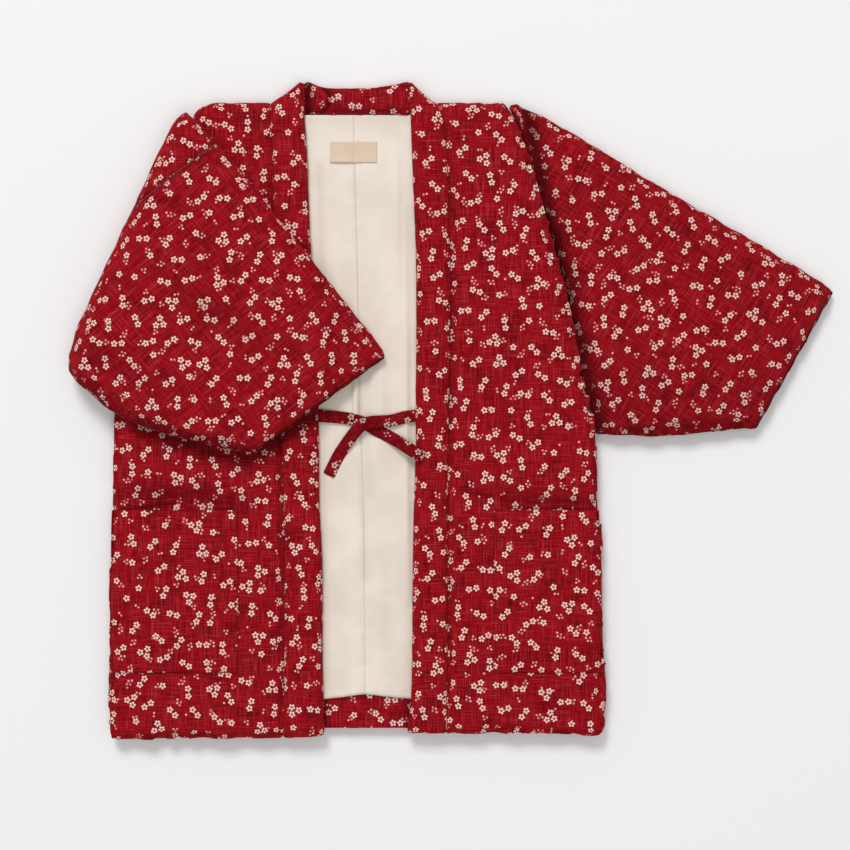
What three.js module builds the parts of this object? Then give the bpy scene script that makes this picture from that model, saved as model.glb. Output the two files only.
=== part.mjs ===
// Hanten: a padded Japanese jacket, laid flat on its back with one sleeve folded over its front.
// Millimetres, +Z up. X runs across the jacket and Y from the hem to the neck.
// Left and right are the wearer's, so the left sleeve lies at +X.

import * as THREE from 'three'
import { mergeVertices } from 'three/addons/utils/BufferGeometryUtils.js'

// Driving sizes
const PADDING = 11 // one layer of cotton wadding between its two cloths
const SEAM = 0.3 // room between two pieces that are sewn together or lie on each other
const SHOULDER_Y = 777 // hem to shoulder fold
const NECK_Y = 761 // hem to the seam of the back neck
const COLLAR_RISE = 16 // how thick the collar band stands on the back
const FRONT_RISE = 12.6 // how thick a front lies on the back
const LINING = 1.5 // lining cloth
const POCKET = 3 // patch pocket with its turned edges
const POCKET_INSET = 57 // from the collar seam to the inner edge of a pocket
const POCKET_ROUND = 1.5 // how far its upper side is drawn in along its edges
const TIE_WIDTH = 15
const TIE_THICKNESS = 2.6
const UNDER_COLLAR = 3.1 // how far the lining runs under the collar edge
const LABEL = { x: -33.5, y: 704, width: 57, height: 25, thickness: 0.9 }

// Levels of the stacked layers
const BACK_TOP = PADDING
const FRONT_LOW = BACK_TOP + SEAM
const FRONT_TOP = FRONT_LOW + FRONT_RISE
const COLLAR_TOP = FRONT_LOW + COLLAR_RISE
const SLEEVE_TOP = 2 * PADDING + 2.5 // laid-out sleeve, two padded layers
const FOLD_TOP = 50 // sleeve folded over the front, four layers
const CUFF_TOP = 35.5 // the same sleeve where its cuff hangs over the opening
const CUFF_LOW = BACK_TOP + LINING + 2
const NECK_TOP = 17 // collar behind the neck
const FOLD_ROOM = 0.7 // between the folded sleeve and the front under it

// Edge radii of the padded pieces, in plan
const EDGE = 12
const SLEEVE_EDGE = 22
const COLLAR_EDGE = 11
const SEAM_EDGE = 2.5
const FOLD_EDGE = 25
const SHOULDER_ROLL = 17 // depth of the shoulder fold that reaches down to the floor
const ROLL_STEP = 2.5 // run of the underside where it drops to the floor behind the back's edge
const LAYER_GROOVE = 8 // depth between the layers of the turned sleeve where they lie on the floor
const UNDER_GROOVE = 3 // depth of the seam along a sleeve's under edge, between its two layers
const ARMHOLE_ROOM = 1.3 // between the laid-out sleeve and the side of the body

// Angles of the stops round an edge, from its outline to its flat side
const TURN = [0, 22, 45, 68, 90].map((degrees) => THREE.MathUtils.degToRad(degrees))

// Outlines from the hem up. Each row is a height and what the jacket measures there.
const LEFT_SIDE = [
  { y: 0, x: 298 }, { y: 30, x: 304.4 }, { y: 96, x: 303.2 }, { y: 134, x: 300.7 }, { y: 218, x: 299 },
  { y: 278, x: 297 }, { y: 331, x: 293.4 }, { y: 373, x: 291 }, { y: 405, x: 285.5 }, { y: 438, x: 276.5 },
  { y: 508, x: 262.5 }, { y: 571, x: 247 }, { y: 627, x: 233.5 }, { y: 662, x: 224 }, { y: 700, x: 214 },
  { y: 732, x: 203 }, { y: 759, x: 191 }, { y: SHOULDER_Y, x: 179 },
]
const RIGHT_SIDE = [
  { y: 0, x: -299 }, { y: 20, x: -302 }, { y: 104, x: -303.5 }, { y: 187, x: -302.7 }, { y: 266, x: -302 },
  { y: 312, x: -299.5 }, { y: 403, x: -297.5 }, { y: 506, x: -297 }, { y: 567, x: -274 },
  { y: 637, x: -244 }, { y: 692, x: -214 }, { y: 735, x: -204 }, { y: 758, x: -201 },
  { y: 768, x: -195 }, { y: 774, x: -186 }, { y: SHOULDER_Y, x: -174 },
]
// How far the hems lie above the lowest one; the shift ends at the height of the pockets
const FRONT_HEM = [
  { x: -303, rise: 0 }, { x: -200, rise: 0.8 }, { x: -100, rise: 3 }, { x: -40, rise: 6 },
  { x: 60, rise: 9.5 }, { x: 110, rise: 9.2 }, { x: 220, rise: 8 }, { x: 305, rise: 6 },
]
const BACK_HEM = [
  { x: -303, rise: 0.6 }, { x: -180, rise: 3 }, { x: -60, rise: 11.4 }, { x: 0, rise: 12.2 },
  { x: 60, rise: 12.2 }, { x: 150, rise: 10 }, { x: 305, rise: 7 },
]
const HEM_SHIFT_END = 84
// Upper edge of the hem facing, where the lining starts
const FACING_EDGE = [
  { x: -50, y: 49.4 }, { x: -20, y: 52.4 }, { x: 9.2, y: 56 }, { x: 36, y: 53 }, { x: 70, y: 50 },
]
const FACING_LOW = 18
// Tilt is how much further the inner edge of the band reaches than its seam.
const LEFT_COLLAR = [
  { y: 0, seam: 107.5, edge: 60, tilt: 0 }, { y: 50, seam: 108, edge: 65.3, tilt: 0 },
  { y: 134, seam: 108.4, edge: 66.5, tilt: 0 }, { y: 218, seam: 108.6, edge: 67.3, tilt: 0 },
  { y: 303, seam: 108.8, edge: 68.9, tilt: 0 }, { y: 359, seam: 109.3, edge: 70.8, tilt: 0 },
  { y: 410, seam: 110.2, edge: 70.4, tilt: 0 }, { y: 512, seam: 111.4, edge: 71.4, tilt: 0 },
  { y: 590, seam: 111.6, edge: 71, tilt: 0 }, { y: 671, seam: 109.6, edge: 67.7, tilt: 0 },
  { y: 710, seam: 108, edge: 66, tilt: 3 }, { y: 757, seam: 103.1, edge: 64, tilt: 14 },
  { y: SHOULDER_Y, seam: 94, edge: 61.6, tilt: 25 },
]
const RIGHT_COLLAR = [
  { y: 0, seam: -88.5, edge: -39.6, tilt: 0 }, { y: 48, seam: -88, edge: -40.9, tilt: 0 },
  { y: 104, seam: -87.4, edge: -42.1, tilt: 0 }, { y: 215, seam: -87.2, edge: -42.4, tilt: 0 },
  { y: 298, seam: -88.4, edge: -46, tilt: 0 }, { y: 388, seam: -92, edge: -46.8, tilt: 0 },
  { y: 480, seam: -96.5, edge: -50, tilt: 0 }, { y: 586, seam: -100, edge: -55.5, tilt: 0 },
  { y: 659, seam: -100.8, edge: -59.2, tilt: 0 }, { y: 708, seam: -102.2, edge: -60.6, tilt: 3 },
  { y: 757, seam: -103.6, edge: -64.6, tilt: 14 }, { y: SHOULDER_Y, seam: -104.3, edge: -66.5, tilt: 25 },
]
const NECK_BAND = [
  { x: -64.3, low: 762.5, top: 801 }, { x: -35, low: 761.5, top: 795.5 }, { x: -8, low: 761.5, top: 795.4 },
  { x: 15, low: 761.5, top: 795.4 }, { x: 42, low: 762, top: 799 }, { x: 61.4, low: 763, top: 802.5 },
]
const CENTRE_SEAM = [
  { y: 0, x: 9.2 }, { y: 267, x: 7.5 }, { y: 430, x: 2 }, { y: 560, x: 0 }, { y: NECK_Y, x: -5 },
]

// Edges of the laid-out left sleeve, from the armhole to the cuff
const LEFT_SHOULDER_FOLD = [
  { x: 180, y: 775 }, { x: 194, y: 777 }, { x: 207, y: 770 }, { x: 264, y: 738 }, { x: 370, y: 673.5 },
  { x: 482, y: 609 }, { x: 537, y: 576 }, { x: 582.5, y: 549 },
]
const LEFT_UNDER_SEAM = [
  { x: 292, y: 369 }, { x: 330, y: 368.5 }, { x: 370, y: 367.5 }, { x: 418, y: 372 }, { x: 485, y: 379 },
]
// The laid-out sleeve lies lower along the armhole: distance from it and how far its skins stand apart
const ARMHOLE_VALLEY = [
  { back: 0, lift: 0.5 }, { back: 5, lift: 0.66 }, { back: 14, lift: 0.82 }, { back: 30, lift: 0.95 },
  { back: 52, lift: 1 },
]

// Edges of the right sleeve: where it turns over, and the two edges that run from there to the cuff
const RIGHT_TURN = [
  { x: -207.5, y: 764.5 }, { x: -221, y: 752 }, { x: -236, y: 725 }, { x: -257, y: 679.5 },
  { x: -295.8, y: 598 }, { x: -336, y: 511 }, { x: -348.9, y: 479.5 }, { x: -351.2, y: 448 },
]
const RIGHT_SHOULDER_FOLD = [
  { x: -207.5, y: 764.5 }, { x: -166.5, y: 722.2 }, { x: -95.8, y: 637 }, { x: -55.5, y: 586 },
  { x: 12.8, y: 500 }, { x: 38.4, y: 469 },
]
const RIGHT_UNDER_SEAM = [
  { x: -351.2, y: 448 }, { x: -328, y: 422 }, { x: -279, y: 389 }, { x: -222.7, y: 369 },
  { x: -155.5, y: 354 }, { x: -123.8, y: 349 },
]
// Rounding of a cuff: distance from its end, how far the upper and the lower skin stand off,
// height of the slit as a share of the thickness, and half the slit's own height
const CUFF = [
  { back: 80, lift: 1, under: 1, heart: 0.5, half: 0.6 },
  { back: 40, lift: 0.9, under: 1, heart: 0.46, half: 0.8 },
  { back: 22, lift: 0.8, under: 1, heart: 0.42, half: 1.1 },
  { back: 10, lift: 0.68, under: 0.95, heart: 0.37, half: 1.5 },
  { back: 3, lift: 0.53, under: 0.88, heart: 0.32, half: 2.1 },
  { back: 0, lift: 0.38, under: 0.75, heart: 0.3, half: 2.6 },
]

// Largest folds: troughs and ridges from one point to another
const FRONT_FOLDS = [
  { x1: -290, y1: 292, x2: -170, y2: 290, width: 16, depth: -2.6 }, // above the right pocket
  { x1: 170, y1: 300, x2: 290, y2: 296, width: 15, depth: -2.4 }, // above the left pocket
  { x1: 232, y1: 600, x2: 262, y2: 470, width: 26, depth: 2.2 }, // swell along the left armhole
  { x1: 150, y1: 700, x2: 165, y2: 420, width: 46, depth: 1.4 }, // soft swell down the left front
  { x1: -200, y1: 220, x2: -190, y2: 60, width: 50, depth: 1.2 },
]
const SLEEVE_FOLDS = [
  { x1: 250, y1: 640, x2: 350, y2: 560, width: 26, depth: -2.6 },
  { x1: 300, y1: 470, x2: 420, y2: 500, width: 30, depth: 2 },
  { x1: -199, y1: 533, x2: -116, y2: 488, width: 20, depth: -3.2 }, // diagonal trough on the folded sleeve
  { x1: -270, y1: 470, x2: -150, y2: 420, width: 34, depth: 1.8 },
]
const LINING_FOLDS = [
  { x1: 4, y1: 640, x2: 2, y2: 340, width: 5, depth: 2.2 }, // tuck beside the centre-back seam
  { x1: 44, y1: 700, x2: 50, y2: 180, width: 9, depth: 1.6 },
]

// Ties: points of the middle of each strip, with the height of its middle
const RIGHT_TIE = [
  { x: -46, y: 395, z: 18.6 }, { x: -36, y: 394.6, z: 17.6 }, { x: -20, y: 393.4, z: 16.8 },
  { x: -3, y: 390.4, z: 16.8 }, { x: 10.5, y: 385.5, z: 16.8 }, { x: 23, y: 378, z: 16.2 },
  { x: 37, y: 371, z: 16.8 }, { x: 47, y: 365.5, z: 19.6 }, { x: 56, y: 360, z: 24.4 },
  { x: 64, y: 355, z: 28.2 }, { x: 71, y: 350.5, z: 29.4 }, { x: 80, y: 345, z: 29.4 },
]
const LEFT_TIE = [
  { x: 69.2, y: 395.5, z: 18.8 }, { x: 56, y: 393.5, z: 18.4 }, { x: 42, y: 389.6, z: 19 },
  { x: 28, y: 388.6, z: 20.2 }, { x: 17, y: 388, z: 20.9 }, { x: 6, y: 384.6, z: 20.9 },
  { x: -3, y: 375.5, z: 20.2 }, { x: -13, y: 362, z: 17.4 }, { x: -23, y: 347, z: 14.9 },
  { x: -35, y: 323, z: 14.6 },
]

// Finishes
const CRIMSON = { color: 0xa81c28, roughness: 0.88, metalness: 0 }
const IVORY = { color: 0xeee4d2, roughness: 0.8, metalness: 0 }

// Value between two rows of a table, on a smooth curve through its rows
function lookUp(rows, key, at, column) {
  let i = 0
  while (i < rows.length - 2 && rows[i + 1][key] < at) i += 1
  const [a, b] = [rows[i], rows[i + 1]]
  const [before, after] = [rows[Math.max(0, i - 1)], rows[Math.min(rows.length - 1, i + 2)]]
  const step = b[key] - a[key]
  const t = THREE.MathUtils.clamp((at - a[key]) / step, 0, 1)
  const slopeA = ((b[column] - before[column]) / (b[key] - before[key])) * step
  const slopeB = ((after[column] - a[column]) / (after[key] - a[key])) * step
  const [t2, t3] = [t * t, t * t * t]
  return (2 * t3 - 3 * t2 + 1) * a[column] + (t3 - 2 * t2 + t) * slopeA
    + (3 * t2 - 2 * t3) * b[column] + (t3 - t2) * slopeB
}

// Smooth curve through the rows of an edge
function edgeCurve(rows) {
  return new THREE.CatmullRomCurve3(rows.map((row) => new THREE.Vector3(row.x, row.y, row.z ?? 0)))
}

// Stops across a padded width: close steps turn each rounded edge, even steps lie between them
function stops(width, startEdge, endEdge, steps) {
  const start = TURN.map((a) => ({ at: startEdge * (1 - Math.cos(a)), lift: Math.sin(a) }))
  const end = TURN.map((a) => ({ at: width - endEdge * (1 - Math.cos(a)), lift: Math.sin(a) })).reverse()
  const flat = width - startEdge - endEdge
  const between = Array.from({ length: steps - 1 }, (_, i) => ({
    at: startEdge + (flat * (i + 1)) / steps, lift: 1,
  }))
  return [...start, ...between, ...end]
}

// Height that the folds of a table add at a point
function folds(table, x, y) {
  return table.reduce((sum, fold) => {
    const [dx, dy] = [fold.x2 - fold.x1, fold.y2 - fold.y1]
    const length2 = dx * dx + dy * dy
    const t = THREE.MathUtils.clamp(((x - fold.x1) * dx + (y - fold.y1) * dy) / length2, 0, 1)
    const off = Math.hypot(x - fold.x1 - t * dx, y - fold.y1 - t * dy) / fold.width
    const fade = Math.sin(Math.PI * (0.12 + 0.76 * t))
    return sum + fold.depth * fade * Math.exp(-off * off)
  }, 0)
}

// Point of a skin: lift 0 is the edge, where both skins meet at the middle height
function skinPoint(x, y, level, middle, lift) {
  return new THREE.Vector3(x, y, middle + (level - middle) * lift)
}

// Mesh from lists of four-cornered cells and triangles
function meshFrom(name, finish, corners) {
  const geometry = new THREE.BufferGeometry()
  const positions = corners.flatMap((point) => [point.x, point.y, point.z])
  geometry.setAttribute('position', new THREE.Float32BufferAttribute(positions, 3))
  const merged = dropSlivers(mergeVertices(geometry, 1e-3))
  merged.computeVertexNormals()
  const mesh = new THREE.Mesh(merged, new THREE.MeshStandardMaterial(finish))
  mesh.name = name
  return mesh
}

// Triangles that lost a side where two skins meet are left out
function dropSlivers(geometry) {
  const index = geometry.getIndex().array
  const kept = []
  for (let i = 0; i < index.length; i += 3) {
    const [a, b, c] = [index[i], index[i + 1], index[i + 2]]
    if (a !== b && b !== c && c !== a) kept.push(a, b, c)
  }
  geometry.setIndex(kept)
  return geometry
}

// Corners of the two triangles of each cell of a grid; flip turns them to face the other way
function gridCells(grid, flip = false) {
  const corners = []
  for (let i = 0; i < grid.length - 1; i += 1) {
    for (let j = 0; j < grid[i].length - 1; j += 1) {
      const [a, b, c, d] = [grid[i][j], grid[i][j + 1], grid[i + 1][j + 1], grid[i + 1][j]]
      corners.push(...(flip ? [a, c, b, a, d, c] : [a, b, c, a, c, d]))
    }
  }
  return corners
}

// Padded panel from an upper and a lower grid whose outlines meet. Rows run along +Y and
// columns along +X, or both turned together.
function paddedPanel(name, finish, upper, lower) {
  const rim = (grid) => [
    ...grid[0], ...grid.slice(1).map((row) => row[row.length - 1]),
    ...[...grid[grid.length - 1]].reverse().slice(1),
    ...grid.slice(1, -1).map((row) => row[0]).reverse(), grid[0][0],
  ]
  const wall = gridCells([rim(lower), rim(upper)])
  return meshFrom(name, finish, [...gridCells(upper), ...gridCells(lower, true), ...wall])
}

// Grid of a body panel: rows from hem to top, each from its first edge x to its second
function panelGrid({ rows, firstX, secondX, across, shift = () => 0, level, middle }) {
  return rows.map((row) => {
    const [x1, x2] = [firstX(row.at), secondX(row.at)]
    return across(x2 - x1).map((stop) => {
      const x = x1 + stop.at
      const y = row.at + shift(row.at, x, stop.at / (x2 - x1))
      const lift = Math.min(row.lift, 1) * stop.lift
      return skinPoint(x, y, level(x, y, row), middle(row), lift)
    })
  })
}

const hemShift = (hem, y, x) => lookUp(hem, 'x', x, 'rise') * Math.max(0, 1 - y / HEM_SHIFT_END)
const leftSide = (y) => lookUp(LEFT_SIDE, 'y', y, 'x')
const rightSide = (y) => lookUp(RIGHT_SIDE, 'y', y, 'x')
const collarX = (table, column) => (y) => lookUp(table, 'y', y, column)
const centreSeam = (y) => lookUp(CENTRE_SEAM, 'y', y, 'x')

// Heights of the fronts and collars from the hem, closer where a pocket or the shoulder needs them
const ROW_HEIGHTS = [
  48, 84, 116, 150, 184, 218, 250, 272, 281, 292, 306, 331, 360, 392, 425, 460, 495, 530, 566, 602,
  638, 672, 704, 732,
]
const FRONT_ROWS = [
  ...stops(SHOULDER_Y, EDGE, EDGE, 1).slice(0, TURN.length), ...ROW_HEIGHTS.map((at) => ({ at, lift: 1 })),
]
const SHOULDER_ROWS = [
  { at: SHOULDER_Y - SHOULDER_ROLL - ROLL_STEP, lift: 1 },
  { at: SHOULDER_Y - SHOULDER_ROLL, lift: 1, roll: true },
  ...stops(SHOULDER_ROLL, 0, SHOULDER_ROLL - 3, 1).slice(TURN.length)
    .map((row) => ({ at: SHOULDER_Y - SHOULDER_ROLL + row.at, lift: row.lift, roll: true })),
]

// Stops across a front from its collar seam to its side; one is on the pocket's inner edge
function frontStops(width) {
  const turned = stops(width, SEAM_EDGE, EDGE, 1)
  const outer = width - EDGE
  const stopAt = (from, to, share) => ({ at: from + (to - from) * share, lift: 1 })
  return [
    ...turned.slice(0, TURN.length),
    ...[0.5, 1].map((share) => stopAt(SEAM_EDGE, POCKET_INSET, share)),
    ...[0.25, 0.5, 0.75].map((share) => stopAt(POCKET_INSET, outer, share)),
    ...turned.slice(TURN.length),
  ]
}
const mirrored = (across) => (width) => across(width)
  .map((stop) => ({ ...stop, at: width - stop.at })).reverse()

// Stops of a front, and rows of its table, that a pocket reaches over
const POCKET_COLUMNS = { inner: TURN.length + 1, outer: TURN.length + 7, last: TURN.length + 9 }
const POCKET_ROWS = { first: 84, last: 281 }

// A front reaches from the collar seam to the side and turns down to the floor at the shoulder
function front(name, side) {
  const left = side === 'left'
  const gap = SEAM / 2
  const seam = collarX(left ? LEFT_COLLAR : RIGHT_COLLAR, 'seam')
  const rows = [...FRONT_ROWS, ...SHOULDER_ROWS]
  const shape = {
    rows,
    firstX: left ? (y) => seam(y) + gap : rightSide,
    secondX: left ? leftSide : (y) => seam(y) - gap,
    across: left ? frontStops : mirrored(frontStops),
    shift: (y, x) => hemShift(FRONT_HEM, y, x),
    middle: (row) => (row.roll ? FRONT_TOP / 2 : FRONT_LOW + FRONT_RISE / 2),
  }
  const top = (x, y) => FRONT_TOP + folds(FRONT_FOLDS, x, y)
  const bottom = (x, y, row) => (row.roll ? 0 : FRONT_LOW)
  const upper = panelGrid({ ...shape, level: top })
  const lower = panelGrid({ ...shape, level: bottom })
  return { mesh: paddedPanel(name, CRIMSON, upper, lower), upper, rows }
}

// A patch pocket is made from the points of the front under it, moved out
function pocket(name, panel, side) {
  const { inner, outer, last: end } = POCKET_COLUMNS
  const [firstColumn, lastColumn] = side === 'left' ? [inner, outer] : [end - outer, end - inner]
  const first = panel.rows.findIndex((row) => row.at === POCKET_ROWS.first)
  const last = panel.rows.findIndex((row) => row.at === POCKET_ROWS.last)
  const base = panel.upper.slice(first, last + 1).map((row) => row.slice(firstColumn, lastColumn + 1))
  const lower = base.map((row) => row.map((p) => p.clone().setZ(p.z + SEAM)))
  const centre = new THREE.Box3().setFromPoints(base.flat()).getCenter(new THREE.Vector3())
  const upper = base.map((row, i) => row.map((p, j) => {
    const rim = i === 0 || j === 0 || i === base.length - 1 || j === row.length - 1
    const inset = rim ? POCKET_ROUND : 0
    const x = p.x + inset * Math.sign(centre.x - p.x)
    const y = p.y + inset * Math.sign(centre.y - p.y)
    return new THREE.Vector3(x, y, p.z + SEAM + (rim ? 0.6 * POCKET : POCKET))
  }))
  return paddedPanel(name, CRIMSON, upper, lower)
}

// One half of the back, from the centre-back seam to the side. It ends under the shoulder fold.
function backHalf(name, side) {
  const left = side === 'left'
  const top = SHOULDER_Y - SHOULDER_ROLL - ROLL_STEP - SEAM
  const shape = {
    rows: stops(top, EDGE, SEAM_EDGE, 12),
    firstX: left ? (y) => centreSeam(y) + SEAM / 2 : rightSide,
    secondX: left ? leftSide : (y) => centreSeam(y) - SEAM / 2,
    across: (width) => stops(width, left ? SEAM_EDGE : EDGE, left ? EDGE : SEAM_EDGE, 5),
    shift: (y, x) => hemShift(BACK_HEM, y, x),
    middle: () => PADDING / 2,
  }
  const upper = panelGrid({ ...shape, level: () => BACK_TOP })
  const lower = panelGrid({ ...shape, level: () => 0 })
  return paddedPanel(name, CRIMSON, upper, lower)
}

// A collar band runs up a front edge, and its top end turns down to the floor at the neck
function frontCollar(name, side) {
  const left = side === 'left'
  const table = left ? LEFT_COLLAR : RIGHT_COLLAR
  const [seam, edge] = [collarX(table, 'seam'), collarX(table, 'edge')]
  const gap = SEAM / 2
  const shape = {
    rows: [...FRONT_ROWS, ...SHOULDER_ROWS],
    firstX: left ? edge : (y) => seam(y) + gap,
    secondX: left ? (y) => seam(y) - gap : edge,
    across: (width) => stops(width, left ? COLLAR_EDGE : SEAM_EDGE, left ? SEAM_EDGE : COLLAR_EDGE, 1),
    shift: (y, x, across) => hemShift(FRONT_HEM, y, x)
      + lookUp(table, 'y', y, 'tilt') * (left ? 1 - across : across),
    middle: (row) => (row.roll ? COLLAR_TOP / 2 : FRONT_LOW + COLLAR_RISE / 2),
  }
  const upper = panelGrid({ ...shape, level: () => COLLAR_TOP })
  const lower = panelGrid({ ...shape, level: (x, y, row) => (row.roll ? 0 : FRONT_LOW) })
  return paddedPanel(name, CRIMSON, upper, lower)
}

// The collar behind the neck lies on the floor between the two front bands
function neckCollar() {
  const [from, to] = [NECK_BAND[0].x, NECK_BAND[NECK_BAND.length - 1].x]
  const columns = Array.from({ length: 11 }, (_, i) => from + ((to - from) * i) / 10)
  const build = (level) => columns.map((x) => {
    const first = lookUp(NECK_BAND, 'x', x, 'low')
    const second = lookUp(NECK_BAND, 'x', x, 'top')
    return stops(second - first, SEAM_EDGE, COLLAR_EDGE, 2)
      .map((stop) => skinPoint(x, first + stop.at, level, NECK_TOP / 2, stop.lift))
  })
  const turned = (grid) => grid[0].map((_, j) => grid.map((row) => row[j]))
  return paddedPanel('collar_back_neck', CRIMSON, turned(build(NECK_TOP)), turned(build(0)))
}

// The visible lining and the hem facing are single cloths on the back
function clothOnBack(name, finish, { from, to, firstX, secondX, rows, columns, table, thickness }) {
  const build = (rise) => Array.from({ length: rows + 1 }, (_, i) => {
    const [share, high] = [i / rows, THREE.MathUtils.lerp(from(0), to(0), i / rows)]
    const [x1, x2] = [firstX(high), secondX(high)]
    return Array.from({ length: columns + 1 }, (__, j) => {
      const x = x1 + ((x2 - x1) * j) / columns
      const y = THREE.MathUtils.lerp(from(x), to(x), share)
      return new THREE.Vector3(x, y, BACK_TOP + SEAM + folds(table, x, y) + rise)
    })
  })
  return paddedPanel(name, finish, build(thickness), build(0))
}

const facingEdge = (x) => lookUp(FACING_EDGE, 'x', x, 'y')
const openingLeft = (y) => collarX(LEFT_COLLAR, 'edge')(y) + UNDER_COLLAR
const openingRight = (y) => collarX(RIGHT_COLLAR, 'edge')(y) - UNDER_COLLAR

function lining(name, side) {
  const left = side === 'left'
  return clothOnBack(name, IVORY, {
    from: (x) => facingEdge(x) + SEAM * 1.3,
    to: () => NECK_Y - 2,
    firstX: left ? (y) => centreSeam(y) + SEAM / 2 : openingRight,
    secondX: left ? openingLeft : (y) => centreSeam(y) - SEAM / 2,
    rows: 22,
    columns: 6,
    table: LINING_FOLDS,
    thickness: LINING,
  })
}

function hemFacing() {
  return clothOnBack('hem_facing', CRIMSON, {
    from: () => FACING_LOW, to: facingEdge, firstX: openingRight, secondX: openingLeft,
    rows: 3, columns: 12, table: [], thickness: LINING,
  })
}

// Place inside four edges: t runs from the start edge to the cuff, across from the first edge
// to the second
function patch({ start, cuff, first, second }, t, across) {
  const between = first(t).lerp(second(t), across)
  const along = start(across).lerp(cuff(across), t)
  const corners = first(0).lerp(second(0), across).lerp(first(1).lerp(second(1), across), t)
  return between.add(along).sub(corners)
}

// A sleeve is a flattened tube, a wall of one padded layer round a slit that opens at the cuff.
// Each station says where it lies, how far its skins stand apart and how wide its slit is.
function sleeve(name, { stations, place, top, bottom, steps, through }) {
  const ring = (row, half) => {
    const width = place(row.at, 0).distanceTo(place(row.at, 1))
    const margin = half === undefined ? 0 : SLEEVE_EDGE
    const turn = half === undefined ? SLEEVE_EDGE : SEAM_EDGE
    const side = (sign) => stops(width - 2 * margin, turn, turn, steps).map((stop, i, all) => {
      const groove = i === all.length - 1 && half === undefined ? row.groove ?? UNDER_GROOVE : 0
      const p = place(row.at, (stop.at + margin - groove) / width)
      const [high, low] = [top(p.x, p.y), bottom(p.x, p.y, row)]
      const heart = THREE.MathUtils.lerp(low, high, row.heart ?? 0.5)
      if (half !== undefined) return p.setZ(heart + sign * half * stop.lift)
      const lift = sign > 0 ? row.lift : row.under ?? row.lift
      return skinPoint(p.x, p.y, sign > 0 ? high : low, heart, lift * stop.lift)
    })
    const [upper, lower] = [side(1), side(-1)]
    return [...upper, ...lower.reverse().slice(1, -1), upper[0]]
  }
  const outer = stations.map((row) => ring(row))
  const inner = stations.filter((row) => row.half !== undefined).map((row) => ring(row, row.half))
  const rims = [gridCells([outer[outer.length - 1], inner[inner.length - 1]])]
  if (through) rims.push(gridCells([inner[0], outer[0]]))
  return meshFrom(name, CRIMSON, [...gridCells(outer), ...gridCells(inner, true), ...rims.flat()])
}

const flat = (x, y) => new THREE.Vector3(x, y, 0)

// The left sleeve lies on the floor beside the body, in a valley along the armhole
function leftSleeve() {
  const [topY, lowY] = [SHOULDER_Y - 3, LEFT_UNDER_SEAM[0].y + 1]
  const shoulder = edgeCurve(LEFT_SHOULDER_FOLD)
  const under = edgeCurve(LEFT_UNDER_SEAM)
  const edges = {
    start: (across) => {
      const y = THREE.MathUtils.lerp(topY, lowY, across)
      return flat(leftSide(y) + ARMHOLE_ROOM, y)
    },
    cuff: (across) => shoulder.getPointAt(1).lerp(under.getPointAt(1), across),
    first: (t) => shoulder.getPointAt(t),
    second: (t) => under.getPointAt(t),
  }
  const length = shoulder.getLength()
  const even = Array.from({ length: 8 }, (_, i) => ({ at: 0.2 + 0.082 * i, lift: 1 }))
  const stations = [
    ...ARMHOLE_VALLEY.map((row) => ({ at: row.back / length, ...row, under: 1, half: 0.6 })),
    ...even.map((row) => ({ ...row, half: 0.6 })),
    ...CUFF.slice(1).map((row) => ({ ...row, at: 1 - row.back / length })),
  ]
  return sleeve('sleeve_left', {
    stations,
    place: (t, across) => patch(edges, t, across),
    top: (x, y) => SLEEVE_TOP + folds(SLEEVE_FOLDS, x, y),
    bottom: () => 0,
    steps: 8,
    through: true,
  })
}

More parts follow.
